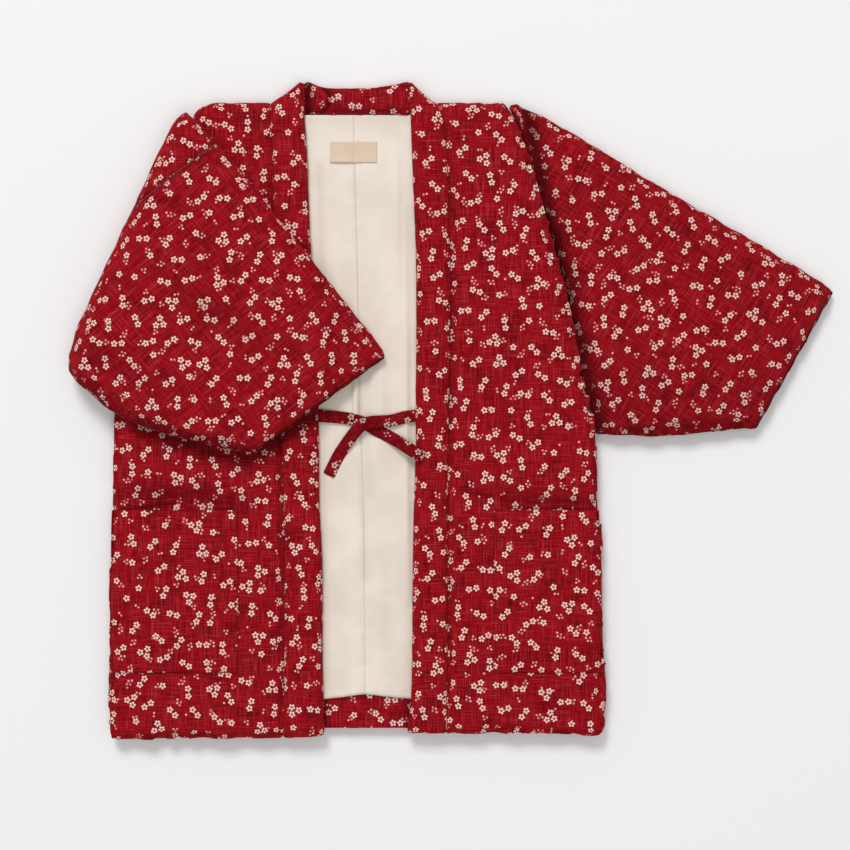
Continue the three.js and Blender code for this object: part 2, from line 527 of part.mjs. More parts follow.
// The right sleeve turns over at the side and lies on the front with its back side up. Where it
// turns, its hidden layers are one rounded solid that reaches the floor beside the body.
function rightSleeve() {
  const overFront = FRONT_TOP + FOLD_ROOM
  const overCollar = COLLAR_TOP + 2 * FOLD_ROOM
  const turn = edgeCurve(RIGHT_TURN)
  const shoulder = edgeCurve(RIGHT_SHOULDER_FOLD)
  const under = edgeCurve(RIGHT_UNDER_SEAM)
  const edges = {
    start: (across) => turn.getPointAt(across),
    cuff: (across) => shoulder.getPointAt(1).lerp(under.getPointAt(1), across),
    first: (t) => shoulder.getPointAt(t),
    second: (t) => under.getPointAt(t),
  }
  const lengthAt = (across) => THREE.MathUtils.lerp(shoulder.getLength(), under.getLength(), across)
  // How far along the sleeve the side of the body lies under it, kept off by a clearance
  const bodyAt = (across, off) => {
    let [low, high] = [0, 0.5]
    for (let i = 0; i < 20; i += 1) {
      const t = (low + high) / 2
      const p = patch(edges, t, across)
      if (p.x < rightSide(p.y) - off) low = t
      else high = t
    }
    return low
  }
  const place = (at, across) => patch(edges, typeof at === 'function' ? at(across) : at, across)
  const seam = collarX(RIGHT_COLLAR, 'seam')
  const edge = collarX(RIGHT_COLLAR, 'edge')
  const dip = (x, y) => THREE.MathUtils.smoothstep(x, edge(y) + 2, edge(y) + 56)
  const bottom = (x, y, row) => {
    if (row.floor) return 0
    const rise = THREE.MathUtils.smoothstep(x, seam(y) - 46, seam(y) - 16)
    const level = THREE.MathUtils.lerp(overFront, overCollar, rise)
    return THREE.MathUtils.lerp(level, CUFF_LOW, dip(x, y))
  }
  const top = (x, y) => THREE.MathUtils.lerp(FOLD_TOP, CUFF_TOP, dip(x, y)) + folds(SLEEVE_FOLDS, x, y)
  const roll = stops(200, FOLD_EDGE, FOLD_EDGE, 1).slice(0, 4).map((stop) => ({
    at: (across) => Math.min(stop.at / lengthAt(across), bodyAt(across, 4) * (stop.at / FOLD_EDGE) * 0.96),
    lift: stop.lift, floor: true, groove: LAYER_GROOVE * stop.lift,
  }))
  const step = [{ at: (across) => bodyAt(across, 4), lift: 1, floor: true, groove: LAYER_GROOVE },
    { at: (across) => bodyAt(across, 1.2), lift: 1 }]
  const spread = (share) => (across) => {
    const [from, to] = [bodyAt(across, 1.2), 1 - CUFF[0].back / lengthAt(across)]
    return from + (to - from) * share
  }
  const even = [0.12, 0.27, 0.42, 0.57, 0.72, 0.86].map((share) => ({ at: spread(share), lift: 1 }))
  const mouth = CUFF.map((row) => ({ ...row, at: (across) => 1 - row.back / lengthAt(across) }))
  const slitStart = { ...even[4], half: 0 }
  return sleeve('sleeve_right', {
    stations: [...roll, ...step, ...even.slice(0, 4), slitStart, { ...even[5], half: 0.6 }, ...mouth],
    place, top, bottom, steps: 8,
  })
}

// A tie is a flat strip along a route of points, with square ends
function tie(name, rows) {
  const route = edgeCurve(rows)
  const count = 22
  const up = new THREE.Vector3(0, 0, 1)
  const section = (i) => {
    const middle = route.getPointAt(i / count)
    const ahead = route.getTangentAt(i / count)
    const side = new THREE.Vector3().crossVectors(up, ahead).normalize()
    const out = new THREE.Vector3().crossVectors(ahead, side).normalize()
    const corner = (across, high) => middle.clone()
      .addScaledVector(side, (across * TIE_WIDTH) / 2).addScaledVector(out, (high * TIE_THICKNESS) / 2)
    return [corner(-1, 0), corner(-0.85, -1), corner(0, -1), corner(0.85, -1), corner(1, 0),
      corner(0.85, 1), corner(0, 1), corner(-0.85, 1), corner(-1, 0)]
  }
  const rings = Array.from({ length: count + 1 }, (_, i) => section(i))
  const cap = (ring, flip) => {
    const centre = ring[2].clone().lerp(ring[6], 0.5)
    return ring.slice(0, -1).flatMap((p, i) => (flip ? [centre, ring[i + 1], p] : [centre, p, ring[i + 1]]))
  }
  return meshFrom(name, CRIMSON, [...gridCells(rings), ...cap(rings[0], true), ...cap(rings[count], false)])
}

// A plain label lies on the lining below the neck seam
function label() {
  const { x, y, width, height, thickness } = LABEL
  const build = (rise) => [0, 1].map((j) => [0, 0.5, 1].map((i) => {
    const px = x + width * i
    return new THREE.Vector3(px, y + height * j, BACK_TOP + 2 * SEAM + LINING + rise)
  }))
  return paddedPanel('label', IVORY, build(thickness), build(0))
}

const frontLeft = front('front_left', 'left')
const frontRight = front('front_right', 'right')
const jacket = new THREE.Group()
jacket.add(
  backHalf('back_left', 'left'), backHalf('back_right', 'right'),
  lining('lining_left', 'left'), lining('lining_right', 'right'), hemFacing(),
  frontLeft.mesh, frontRight.mesh,
  frontCollar('collar_front_left', 'left'), frontCollar('collar_front_right', 'right'), neckCollar(),
  pocket('pocket_left', frontLeft, 'left'), pocket('pocket_right', frontRight, 'right'),
  leftSleeve(), rightSleeve(), tie('tie_left', LEFT_TIE), tie('tie_right', RIGHT_TIE), label(),
)

// The origin is under the middle of the jacket, on the surface it lies on
const box = new THREE.Box3().setFromObject(jacket)
const centre = box.getCenter(new THREE.Vector3())
jacket.position.set(-centre.x, -centre.y, -box.min.z)
jacket.updateMatrixWorld(true)

export default jacket
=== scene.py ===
# %% [markdown]
# A hanten is a short padded jacket. This one lies flat on its back, seen from straight above,
# with its left sleeve laid out and its right sleeve folded over the front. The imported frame
# holds every piece at its real size and place. This lesson gives those pieces soft padded
# cloth, a blossom print, a lining, ties and the light of a photograph.

# %% Load the frame
import math

import bmesh
import bpy
import numpy as np
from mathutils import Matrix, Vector, noise
from mathutils.bvhtree import BVHTree


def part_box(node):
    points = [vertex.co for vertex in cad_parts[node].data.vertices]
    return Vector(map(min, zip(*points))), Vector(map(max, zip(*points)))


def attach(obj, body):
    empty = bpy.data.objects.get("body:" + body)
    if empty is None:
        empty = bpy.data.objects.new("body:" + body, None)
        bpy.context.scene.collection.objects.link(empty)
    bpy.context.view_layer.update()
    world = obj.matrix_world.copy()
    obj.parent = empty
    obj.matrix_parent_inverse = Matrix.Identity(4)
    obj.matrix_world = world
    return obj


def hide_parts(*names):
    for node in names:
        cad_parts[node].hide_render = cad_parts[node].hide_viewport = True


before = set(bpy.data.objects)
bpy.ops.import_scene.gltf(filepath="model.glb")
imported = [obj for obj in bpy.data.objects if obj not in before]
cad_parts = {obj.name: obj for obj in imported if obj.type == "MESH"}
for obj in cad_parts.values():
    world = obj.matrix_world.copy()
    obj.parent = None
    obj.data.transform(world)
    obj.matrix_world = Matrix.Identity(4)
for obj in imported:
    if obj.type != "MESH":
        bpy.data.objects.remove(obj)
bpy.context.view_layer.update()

# %% [markdown]
# Places are easier to name from the jacket's own corner: how far up from the hem, and how far
# across from the middle of the back. The lowest hem and the side of the back give both in the
# frame, so every named place below is a distance in millimetres that a tape measure would give.

# %% Places on the jacket
MM = 0.001
HEM_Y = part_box("front_right")[0].y
MIDDLE_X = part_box("back_left")[1].x - 304.2 * MM
SHOULDER_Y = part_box("front_left")[1].y
FRONT_TOP = 23.9 * MM


def place(across, up, high=0.0):
    """A point of the jacket, in metres, from millimetres across the back and up from the hem."""
    return Vector((MIDDLE_X + across * MM, HEM_Y + up * MM, high * MM))


print("hem at", round(HEM_Y, 4), "shoulder at", round(SHOULDER_Y, 4))

# %% [markdown]
# The camera looks straight down, as the photograph was taken. A long lens keeps the sides of
# the jacket from leaning. Its height follows from how wide the picture is on the floor.

# %% Camera
PICTURE_WIDTH = 1.031
LENS = 90.0
SENSOR = 36.0
camera_data = bpy.data.cameras.new("overhead_camera")
camera_data.lens = LENS
camera_data.sensor_width = SENSOR
camera = bpy.data.objects.new("overhead_camera", camera_data)
bpy.context.scene.collection.objects.link(camera)
camera_height = PICTURE_WIDTH * LENS / SENSOR
camera.location = place(82.3, 384.3) + Vector((0, 0, camera_height + FRONT_TOP))
bpy.context.scene.camera = camera
bpy.context.scene.view_settings.view_transform = "Standard"
print("camera height", round(camera_height, 3))

# %% [markdown]
# The floor is plain and pale. One broad light above the neck end gives the soft shadows that
# fall towards the hem, and a pale sky fills them.

# %% Floor and lights
def plain_material(name, colour, roughness):
    material = bpy.data.materials.new(name)
    material.use_nodes = True
    shader = material.node_tree.nodes["Principled BSDF"]
    shader.inputs["Base Color"].default_value = (*colour, 1)
    shader.inputs["Roughness"].default_value = roughness
    return material


def add_light(name, spot, aim, size, power, colour=(1, 1, 1)):
    data = bpy.data.lights.new(name, "AREA")
    data.size = size
    data.energy = power
    data.color = colour
    lamp = bpy.data.objects.new(name, data)
    lamp.location = spot
    lamp.rotation_euler = (aim - spot).to_track_quat("-Z", "Y").to_euler()
    bpy.context.scene.collection.objects.link(lamp)


bpy.ops.mesh.primitive_plane_add(size=8, location=(0, 0, -0.0004))
floor = bpy.context.object
floor.name = "floor"
floor.data.materials.append(plain_material("pale_floor", (0.872, 0.872, 0.877), 0.9))

centre = place(60, 400)
add_light("window", centre + Vector((-1.7, 5.6, 6.0)), centre, 2.8, 392)
add_light("ceiling", centre + Vector((0.2, -1.8, 5.0)), centre, 3.2, 60)
world = bpy.data.worlds.new("studio")
world.use_nodes = True
world.node_tree.nodes["Background"].inputs["Color"].default_value = (1.0, 0.985, 0.98, 1)
world.node_tree.nodes["Background"].inputs["Strength"].default_value = 0.45
bpy.context.scene.world = world
print("floor and lights are set")

# %% [markdown]
# The cloth is slubbed crimson cotton, printed all over with small five-petalled blossoms and
# groups of dots. A print like this can be built from shader nodes: the cloth is divided into
# squares, each square gets its own random numbers, and they say where a sprig of up to three
# blossoms lies in it and how it is turned. A second scatter at another pitch and angle carries
# the dots. The print reads an attribute of the piece, its place on the flat cloth, so it turns
# with each sleeve and runs over the edges. The attribute's third number is painted shade: it
# darkens the cloth in folds, creases and hollows and where other pieces throw shadow on it.

# %% Small helpers for shader nodes
class Weave:
    """Adds shader nodes to one material and joins them."""

    def __init__(self, name):
        self.material = bpy.data.materials.new(name)
        self.material.use_nodes = True
        self.tree = self.material.node_tree
        self.shader = self.tree.nodes["Principled BSDF"]

    def feed(self, socket, value):
        if isinstance(value, bpy.types.NodeSocket):
            self.tree.links.new(value, socket)
        elif value is not None:
            socket.default_value = value

    def node(self, kind, inputs=(), **settings):
        made = self.tree.nodes.new(kind)
        for key, value in settings.items():
            setattr(made, key, value)
        for key, value in dict(inputs).items():
            self.feed(made.inputs[key], value)
        return made

    def math(self, operation, *values, clamp=False):
        made = self.node("ShaderNodeMath", enumerate(values), operation=operation, use_clamp=clamp)
        return made.outputs[0]

    def vector(self, operation, *values, output=0):
        made = self.node("ShaderNodeVectorMath", operation=operation)
        for key, value in enumerate(values):
            socket = made.inputs["Scale"] if operation == "SCALE" and key == 1 else made.inputs[key]
            self.feed(socket, value)
        return made.outputs[output]

    def mix(self, share, first, second):
        made = self.node("ShaderNodeMix", {0: share, 6: first, 7: second}, data_type="RGBA")
        return made.outputs[2]

    def mix_vector(self, share, first, second):
        made = self.node("ShaderNodeMix", {0: share, 4: first, 5: second}, data_type="VECTOR")
        return made.outputs[1]

    def ramp(self, value, low, high, first=0.0, second=1.0):
        made = self.node("ShaderNodeMapRange", interpolation_type="SMOOTHSTEP")
        for key, given in enumerate((value, low, high, first, second)):
            self.feed(made.inputs[key], given)
        return made.outputs[0]


# %% [markdown]
# A scatter divides the cloth into squares, each row shifted by half a square. White noise gives
# every square its own random numbers. They move and turn the sprig in it, and say how many of
# its spots show, so no two sprigs look the same and the print never repeats.

# %% The scatter of sprigs
def scatter(weave, cloth, pitch, turn, jitter, seed):
    """Random sprigs on a turned grid: the place from the sprig's middle in mm, and random values."""
    on_grid = weave.node("ShaderNodeMapping", {
        "Vector": cloth, "Rotation": (0, 0, math.radians(turn)), "Scale": (1 / pitch,) * 3,
        "Location": (seed, seed * 0.7, 0)}).outputs[0]
    row = weave.math("FLOOR", weave.node("ShaderNodeSeparateXYZ", {0: on_grid}).outputs[1])
    half = weave.node("ShaderNodeCombineXYZ", {0: weave.math("MULTIPLY", row, 0.5)}).outputs[0]
    on_grid = weave.vector("ADD", on_grid, half)
    square = weave.vector("FLOOR", on_grid)
    inside = weave.vector("SUBTRACT", weave.vector("FRACTION", on_grid), (0.5, 0.5, 0.5))
    chance = weave.node("ShaderNodeTexWhiteNoise", {"Vector": square}, noise_dimensions="2D")
    moved = weave.vector("SUBTRACT", chance.outputs["Color"], (0.5, 0.5, 0.5))
    local = weave.vector("SUBTRACT", inside, weave.vector("SCALE", moved, jitter))
    local = weave.vector("MULTIPLY", weave.vector("SCALE", local, pitch), (1, 1, 0))
    spread = weave.node("ShaderNodeSeparateXYZ", {0: chance.outputs["Color"]})
    spin = weave.math("MULTIPLY", spread.outputs[2], 2 * math.pi)
    turned = weave.node("ShaderNodeVectorRotate", {"Vector": local, "Angle": spin},
                        rotation_type="Z_AXIS").outputs[0]
    return turned, spin, chance.outputs["Value"]


def nearest(weave, local, chance, spots):
    """The place from the nearest of a sprig's spots. Each spot shows where chance passes its limit."""
    best = weave.vector("SUBTRACT", local, (*spots[0][:2], 0))
    shortest = weave.vector("LENGTH", best, output=1)
    shortest = weave.math("ADD", shortest,
                          weave.math("MULTIPLY", weave.math("LESS_THAN", chance, spots[0][2]), 100))
    for x, y, limit in spots[1:]:
        other = weave.vector("SUBTRACT", local, (x, y, 0))
        far = weave.math("MULTIPLY", weave.math("LESS_THAN", chance, limit), 100)
        length = weave.math("ADD", weave.vector("LENGTH", other, output=1), far)
        closer = weave.math("LESS_THAN", length, shortest)
        best = weave.mix_vector(closer, best, other)
        shortest = weave.math("MINIMUM", shortest, length)
    return best, shortest


# %% [markdown]
# A blossom is drawn from one fifth of it. The angle round its middle is folded into one slice,
# and in that slice a single oval is the petal, with a thin line towards each neighbour and a
# dark middle. Soft limits keep the edges as a printing screen leaves them.

# %% One blossom
PETALS = 5
PETAL_MIDDLE = 2.45
PETAL_LONG = 1.75
PETAL_WIDE = 1.46
PETAL_EDGE = (0.9, 1.08)  # where the petal fades out, as a share of its oval
LINE_WIDE = (0.12, 0.5)  # the lines between petals, half their width in mm
LINE_END = (3.0, 3.6)  # how far out they run, in mm from the middle
MIDDLE_EDGE = (0.85, 1.35)


def blossom(weave, spot, reach, spin):
    """Masks of the petals, of the lines between them and of the dark middle, from a place in mm."""
    parts = weave.node("ShaderNodeSeparateXYZ", {0: spot})
    around = weave.math("ADD", weave.math("ARCTAN2", parts.outputs[1], parts.outputs[0]), spin)
    slice_at = weave.math("FRACT", weave.math("MULTIPLY", around, PETALS / (2 * math.pi)))
    angle = weave.math("MULTIPLY", weave.math("SUBTRACT", slice_at, 0.5), 2 * math.pi / PETALS)
    along = weave.math("SUBTRACT", weave.math("MULTIPLY", reach, weave.math("COSINE", angle)), PETAL_MIDDLE)
    aside = weave.math("MULTIPLY", reach, weave.math("SINE", angle))
    oval = weave.node("ShaderNodeCombineXYZ", {
        0: weave.math("DIVIDE", along, PETAL_LONG), 1: weave.math("DIVIDE", aside, PETAL_WIDE)}).outputs[0]
    distance = weave.vector("LENGTH", oval, output=1)
    petal = weave.ramp(distance, *PETAL_EDGE, 1.0, 0.0)
    to_edge = weave.math("SUBTRACT", math.pi / PETALS, weave.math("ABSOLUTE", angle))
    gap = weave.math("MULTIPLY", reach, weave.math("SINE", to_edge))
    inner = weave.ramp(reach, *LINE_END, 1.0, 0.0)
    line = weave.math("MULTIPLY", weave.ramp(gap, *LINE_WIDE, 1.0, 0.0), inner)
    middle = weave.ramp(reach, *MIDDLE_EDGE, 1.0, 0.0)
    return petal, weave.math("MAXIMUM", line, middle), distance


# %% [markdown]
# The print is laid down as a dyer would: a crimson ground with darker patches, threads that are
# thicker and paler here and there, then the dots, then the sprigs with a dark rim round each.
# The threads also feed the bump, so the cloth looks woven where the light rakes over it.

# %% The whole print
MM_IN_M = 1000.0
CRIMSON = (0.300, 0.0030, 0.0082, 1)
CRIMSON_DEEP = (0.096, 0.0006, 0.0022, 1)
# The painted shade colour: folds, hollows and cast shadows are painted towards this dark crimson.
PAINTED_SHADE_CRIMSON = (0.030, 0.0003, 0.0008, 1)
SLUB = (0.510, 0.036, 0.048, 1)
CREAM = (0.980, 0.670, 0.600, 1)
PINK_CREAM = (0.800, 0.380, 0.345, 1)
OLIVE = (0.160, 0.055, 0.026, 1)
DOT_PINK = (0.680, 0.230, 0.220, 1)
HALO = (4.3, 5.4)
SPRIG_GRID = (27.2, 12.0, 0.3, 3.0)  # pitch in mm, turn in degrees, jitter, seed
DOT_GRID = (24.5, -21.0, 0.5, 23.0)
SPRIGS = [  # spots of a sprig: mm across, mm up, chance above which it shows
    (-4.6, -1.4, 0.0), (4.4, 0.2, 0.24), (-0.6, 7.4, 0.87)]
DOTS = [(-1.6, -0.8, 0.0), (2.3, -0.2, 0.1), (0.4, 3.2, 0.34), (-4.6, 2.2, 0.60), (5.6, 2.6, 0.82)]


def printed_cotton(name="printed_cotton"):
    weave = Weave(name)
    metres = weave.node("ShaderNodeAttribute", attribute_name="cloth").outputs["Vector"]
    cloth = weave.vector("MULTIPLY", metres, (MM_IN_M, MM_IN_M, 0.0))
    patchy = weave.node("ShaderNodeTexNoise", {"Vector": cloth, "Scale": 0.035, "Detail": 3.0})
    colour = weave.mix(weave.ramp(patchy.outputs[0], 0.30, 0.55, 0.45, 1.0), CRIMSON_DEEP, CRIMSON)
    threads = []
    for stretch in ((0.034, 1.05, 1), (1.1, 0.031, 1)):
        lie = weave.vector("MULTIPLY", cloth, stretch)
        thread = weave.node("ShaderNodeTexNoise", {"Vector": lie, "Scale": 1.0, "Detail": 3.0,
                                                   "Roughness": 0.66})
        threads.append(thread.outputs[0])
        colour = weave.mix(weave.ramp(thread.outputs[0], 0.33, 0.49, 0.75, 0.0), colour, CRIMSON_DEEP)
        colour = weave.mix(weave.ramp(thread.outputs[0], 0.54, 0.66, 0.0, 0.72), colour, SLUB)
    local, spin, chance = scatter(weave, cloth, *DOT_GRID)
    spot, reach = nearest(weave, local, chance, DOTS)
    which = weave.node("ShaderNodeTexWhiteNoise", {"Vector": weave.vector("FLOOR", weave.vector(
        "SUBTRACT", local, spot))}, noise_dimensions="3D").outputs["Value"]
    tint = weave.mix(weave.ramp(which, 0.1, 0.8), DOT_PINK, CREAM)
    dot = weave.ramp(reach, 1.0, 1.5, 1.0, 0.0)
    colour = weave.mix(dot, colour, tint)
    local, spin, chance = scatter(weave, cloth, *SPRIG_GRID)
    spot, reach = nearest(weave, local, chance, SPRIGS)
    petal, dark, distance = blossom(weave, spot, reach, spin)
    petal_colour = weave.mix(weave.ramp(distance, 0.35, 1.0), CREAM, PINK_CREAM)
    flower = weave.mix(dark, petal_colour, OLIVE)
    cover = weave.math("MAXIMUM", petal, weave.math("MULTIPLY", dark, 0.9))
    halo = weave.ramp(reach, *HALO, 0.45, 0.0)
    colour = weave.mix(cover, weave.mix(halo, colour, CRIMSON_DEEP), flower)
    # Painted shade: the attribute's third number darkens the print towards the painted shade colour.
    painted_shade = weave.node("ShaderNodeSeparateXYZ", {0: metres}).outputs[2]
    colour = weave.mix(painted_shade, colour, PAINTED_SHADE_CRIMSON)
    ink = weave.math("MAXIMUM", dot, petal)
    grain = weave.node("ShaderNodeTexNoise", {"Vector": cloth, "Scale": 1.7, "Detail": 2.0}).outputs[0]
    height = weave.math("ADD", weave.math("ADD", threads[0], threads[1]), weave.math("MULTIPLY", grain, 0.8))
    bump = weave.node("ShaderNodeBump", {"Height": height, "Strength": 0.34, "Distance": 0.0007})
    weave.feed(weave.shader.inputs["Base Color"], colour)
    weave.feed(weave.shader.inputs["Roughness"], weave.ramp(ink, 0.0, 1.0, 0.88, 0.78))
    weave.feed(weave.shader.inputs["Normal"], bump.outputs[0])
    weave.shader.inputs["Specular IOR Level"].default_value = 0.04
    weave.shader.inputs["Sheen Weight"].default_value = 0.03
    weave.shader.inputs["Sheen Roughness"].default_value = 0.5
    weave.shader.inputs["Sheen Tint"].default_value = (1.0, 0.45, 0.42, 1)
    print(name, "has", len(weave.tree.nodes), "nodes")
    return weave.material


PRINTED = printed_cotton()

# %% [markdown]
# The lining is smooth ivory cloth and the label is a plain woven ribbon. Both are nearly one
# colour, so a faint thread in two directions and a soft change of tone keep them from looking
# like paper.

# %% Lining and label
def plain_cloth(name, light, deep, thread_mm, bump_share, painted_shade_colour):
    weave = Weave(name)
    cloth = weave.vector("SCALE", weave.node("ShaderNodeTexCoord").outputs["Object"], MM_IN_M)
    soft = weave.node("ShaderNodeTexNoise", {"Vector": cloth, "Scale": 0.02, "Detail": 2.0})
    colour = weave.mix(weave.ramp(soft.outputs[0], 0.3, 0.7), deep, light)
    height = None
    for stretch in ((0.08, 1 / thread_mm, 1), (1 / thread_mm, 0.08, 1)):
        lie = weave.vector("MULTIPLY", cloth, stretch)
        thread = weave.node("ShaderNodeTexNoise", {"Vector": lie, "Scale": 1.0, "Detail": 1.0}).outputs[0]
        colour = weave.mix(weave.ramp(thread, 0.5, 0.8, 0.0, 0.3), colour, deep)
        height = thread if height is None else weave.math("ADD", height, thread)
    # Painted shade: the cloth attribute's third number mixes the colour towards painted_shade_colour.
    metres = weave.node("ShaderNodeAttribute", attribute_name="cloth").outputs["Vector"]
    colour = weave.mix(weave.node("ShaderNodeSeparateXYZ", {0: metres}).outputs[2], colour, painted_shade_colour)
    bump = weave.node("ShaderNodeBump", {"Height": height, "Strength": bump_share, "Distance": 0.0004})
    weave.feed(weave.shader.inputs["Base Color"], colour)
    weave.feed(weave.shader.inputs["Normal"], bump.outputs[0])
    weave.shader.inputs["Roughness"].default_value = 0.82
    weave.shader.inputs["Specular IOR Level"].default_value = 0.25
    weave.shader.inputs["Sheen Weight"].default_value = 0.1
    return weave.material


LINING = plain_cloth("lining_cloth", (0.83, 0.748, 0.658, 1), (0.75, 0.664, 0.572, 1), 0.5, 0.12,
                     (0.42, 0.35, 0.28, 1))
LABEL = plain_cloth("label_cloth", (0.72, 0.57, 0.44, 1), (0.61, 0.46, 0.34, 1), 0.7, 0.35,
                    (0.42, 0.30, 0.20, 1))

# %% [markdown]
# Every soft piece starts from the solid that the frame holds. Its mesh is copied into a new
# object, its loose triangles are merged, and from then on the two ways part. Padded pieces are
# remeshed into even squares and swelled with the cloth simulation. Thin cloth only needs its
# solid made finer and then creased.

# %% A fresh copy of a solid
SAME_SPOT = 2e-5


def solid_copy(node, name):
    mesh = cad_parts[node].data.copy()
    mesh.materials.clear()
    piece = bpy.data.objects.new(name, mesh)
    bpy.context.scene.collection.objects.link(piece)
    work = bmesh.new()
    work.from_mesh(mesh)
    bmesh.ops.remove_doubles(work, verts=work.verts, dist=SAME_SPOT)
    bmesh.ops.recalc_face_normals(work, faces=work.faces)
    work.to_mesh(mesh)
    work.free()
    return piece


def apply_modifier(piece, kind, **settings):
    """Adds one modifier with its settings and applies it."""
    bpy.ops.object.select_all(action="DESELECT")
    bpy.context.view_layer.objects.active = piece
    piece.select_set(True)
    modifier = piece.modifiers.new(kind.lower(), kind)
    for key, value in settings.items():
        setattr(modifier, key, value)
    bpy.ops.object.modifier_apply(modifier=modifier.name)


def points_of(piece):
    flat = np.empty(len(piece.data.vertices) * 3)
    piece.data.vertices.foreach_get("co", flat)
    return flat.reshape(-1, 3)


def put_points(piece, points):
    piece.data.vertices.foreach_set("co", np.asarray(points, float).ravel())
    piece.data.update()


def normals_of(piece):
    flat = np.empty(len(piece.data.vertices) * 3)
    piece.data.vertices.foreach_get("normal", flat)
    return flat.reshape(-1, 3)


# %% [markdown]
# Wadding pushes the cloth outwards until the cloth is taut. A cloth simulation with air pressure
# inside does the same to a closed mesh. Its gravity is off, because the jacket already lies on
# the floor, and a cap keeps the pieces from growing into each other.

# %% Swell a padded piece with the cloth simulation
PRESSURE = 4.0
LAST_FRAME = 20
SIDEWAYS = 0.12  # share of a sideways move that is kept


def swell(piece, cap):
    """Inside pressure puffs the piece up. No point may move further than the cap."""
    start = points_of(piece)
    bpy.ops.object.select_all(action="DESELECT")
    bpy.context.view_layer.objects.active = piece
    modifier = piece.modifiers.new("padding", "CLOTH")
    modifier.settings.use_pressure = True
    modifier.settings.uniform_pressure_force = PRESSURE
    modifier.settings.effector_weights.gravity = 0
    modifier.point_cache.frame_end = LAST_FRAME
    for step in range(1, LAST_FRAME + 1):
        bpy.context.scene.frame_set(step)
    swollen = piece.evaluated_get(bpy.context.evaluated_depsgraph_get())
    flat = np.empty(len(swollen.data.vertices) * 3)
    swollen.data.vertices.foreach_get("co", flat)
    moved = (flat.reshape(-1, 3) - start) * (SIDEWAYS, SIDEWAYS, 1)
    piece.modifiers.remove(modifier)
    bpy.context.scene.frame_set(1)
    length = np.linalg.norm(moved, axis=1, keepdims=True)
    put_points(piece, start + moved * np.minimum(1, cap / np.maximum(length, 1e-9)))


def shrink(piece, amount):
    """Makes a piece thinner. Its outline stays, because its seams meet other pieces there."""
    points, normals = points_of(piece), normals_of(piece)
    points[:, 2] -= normals[:, 2] * amount
    put_points(piece, points)


# %% [markdown]
# Creases are listed in a table: each is a line from one place to another with a width and a
# depth, and a soft trough or ridge follows it. Sewn edges pull the cloth into small uneven
# puckers, so a second table names the seams and how strongly they gather.

# %% Creases, puckers and soft unevenness
def as_points(rows):
    """Rows of x, y, x, y in millimetres on the jacket become two points and the rest of the row."""
    return [(place(row[0], row[1]), place(row[2], row[3]), *row[4:]) for row in rows]


def smooth_step(value, low, high):
    share = np.clip((value - low) / (high - low), 0, 1)
    return share * share * (3 - 2 * share)


def across_line(points, start, end):
    """Distance from a line and share along it, for every point, seen from above."""
    first, second = np.array(start[:2]), np.array(end[:2])
    way = second - first
    share = np.clip(((points[:, :2] - first) @ way) / (way @ way), 0, 1)
    off = np.linalg.norm(points[:, :2] - first - share[:, None] * way, axis=1)
    return off, share


def crease(points, start, end, width, depth, power=2.0):
    off, share = across_line(points, start, end)
    fade = np.sin(np.pi * (0.06 + 0.88 * share)) ** 0.6
    return depth * MM * fade * np.exp(-(off / (width * MM)) ** power)


def pucker(points, start, end, reach, depth, wave, seed):
    """Small ripples at right angles to a seam that die out away from it."""
    off, share = across_line(points, start, end)
    length = np.linalg.norm(np.array(start[:2]) - np.array(end[:2]))
    along = share * length / (wave * MM)
    uneven = np.sin(2 * np.pi * along + seed) + 0.6 * np.sin(2 * np.pi * along * 0.61 + 2 * seed)
    fade = np.exp(-(off / (reach * MM)) ** 1.3)
    return depth * MM * uneven * fade * 0.6


def unevenness(points, size, depth, seed):
    shift = Vector((seed * 7.3, seed * 3.1, seed * 1.7))
    return np.array([noise.noise(Vector(p) / size + shift) for p in points]) * depth * MM


print("helpers are ready")

# %% [markdown]
# The print has to lie on each piece as on flat cloth. Straight down projection would smear it
# over the rounded edges, so a point lower on an edge is moved outwards by how far it lies below
# the top. Each sleeve turns its print, because its cloth was cut along the sleeve.

# %% Lay the print on a piece
def lay_print(piece, turn, shift=(0.0, 0.0), part=None, painted_shades=(), thick=True):
    """Writes the place on the flat cloth, turned in degrees, and painted shade as the third number. A part
    of the piece may lie otherwise.
    """
    points, normals = points_of(piece), normals_of(piece)
    below = points[:, 2].max() - points[:, 2] if thick else np.zeros(len(points))
    flat = points[:, :2] + normals[:, :2] * below[:, None]
    # Painted shade: each row of painted_shades is a line whose band darkens the cloth where shade falls.
    painted_shade = np.zeros(len(points))
    for start, end, width, amount in as_points(painted_shades):
        off, _ = across_line(points, start, end)
        painted_shade = np.maximum(painted_shade, amount * np.exp(-(off / (width * MM)) ** 2))

    def turned(degrees, move):
        angle = math.radians(degrees)
        swing = np.array([[math.cos(angle), -math.sin(angle)], [math.sin(angle), math.cos(angle)]])
        return (flat + np.array(move)) @ swing.T

    cloth = turned(turn, shift)
    if part is not None:
        chosen, other_turn, other_shift = part
        cloth = np.where(chosen(points)[:, None], turned(other_turn, other_shift), cloth)
    attribute = piece.data.attributes.new("cloth", "FLOAT_VECTOR", "POINT")
    attribute.data.foreach_set("vector", np.column_stack([cloth, painted_shade]).ravel())


def hand_over(piece, node, material):
    """Finishes a piece: smooth shading, its material, its body and the solid it stands for."""
    piece.data.polygons.foreach_set("use_smooth", [True] * len(piece.data.polygons))
    piece.data.materials.append(material)
    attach(piece, "root")
    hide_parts(node)
    print(piece.name, len(piece.data.polygons), "faces")
    return piece


# %% [markdown]
# A solid from the frame has long thin triangles, and cloth needs even squares to bend. A voxel
# remesh makes them. Afterwards the rim and the underside go back on the solid, because the seams
# of the neighbours meet there, and the top keeps what the wadding gave it.

# %% Remesh into even squares
RIM_TURN = 0.86  # where a solid's face is steeper than this, its edge is kept


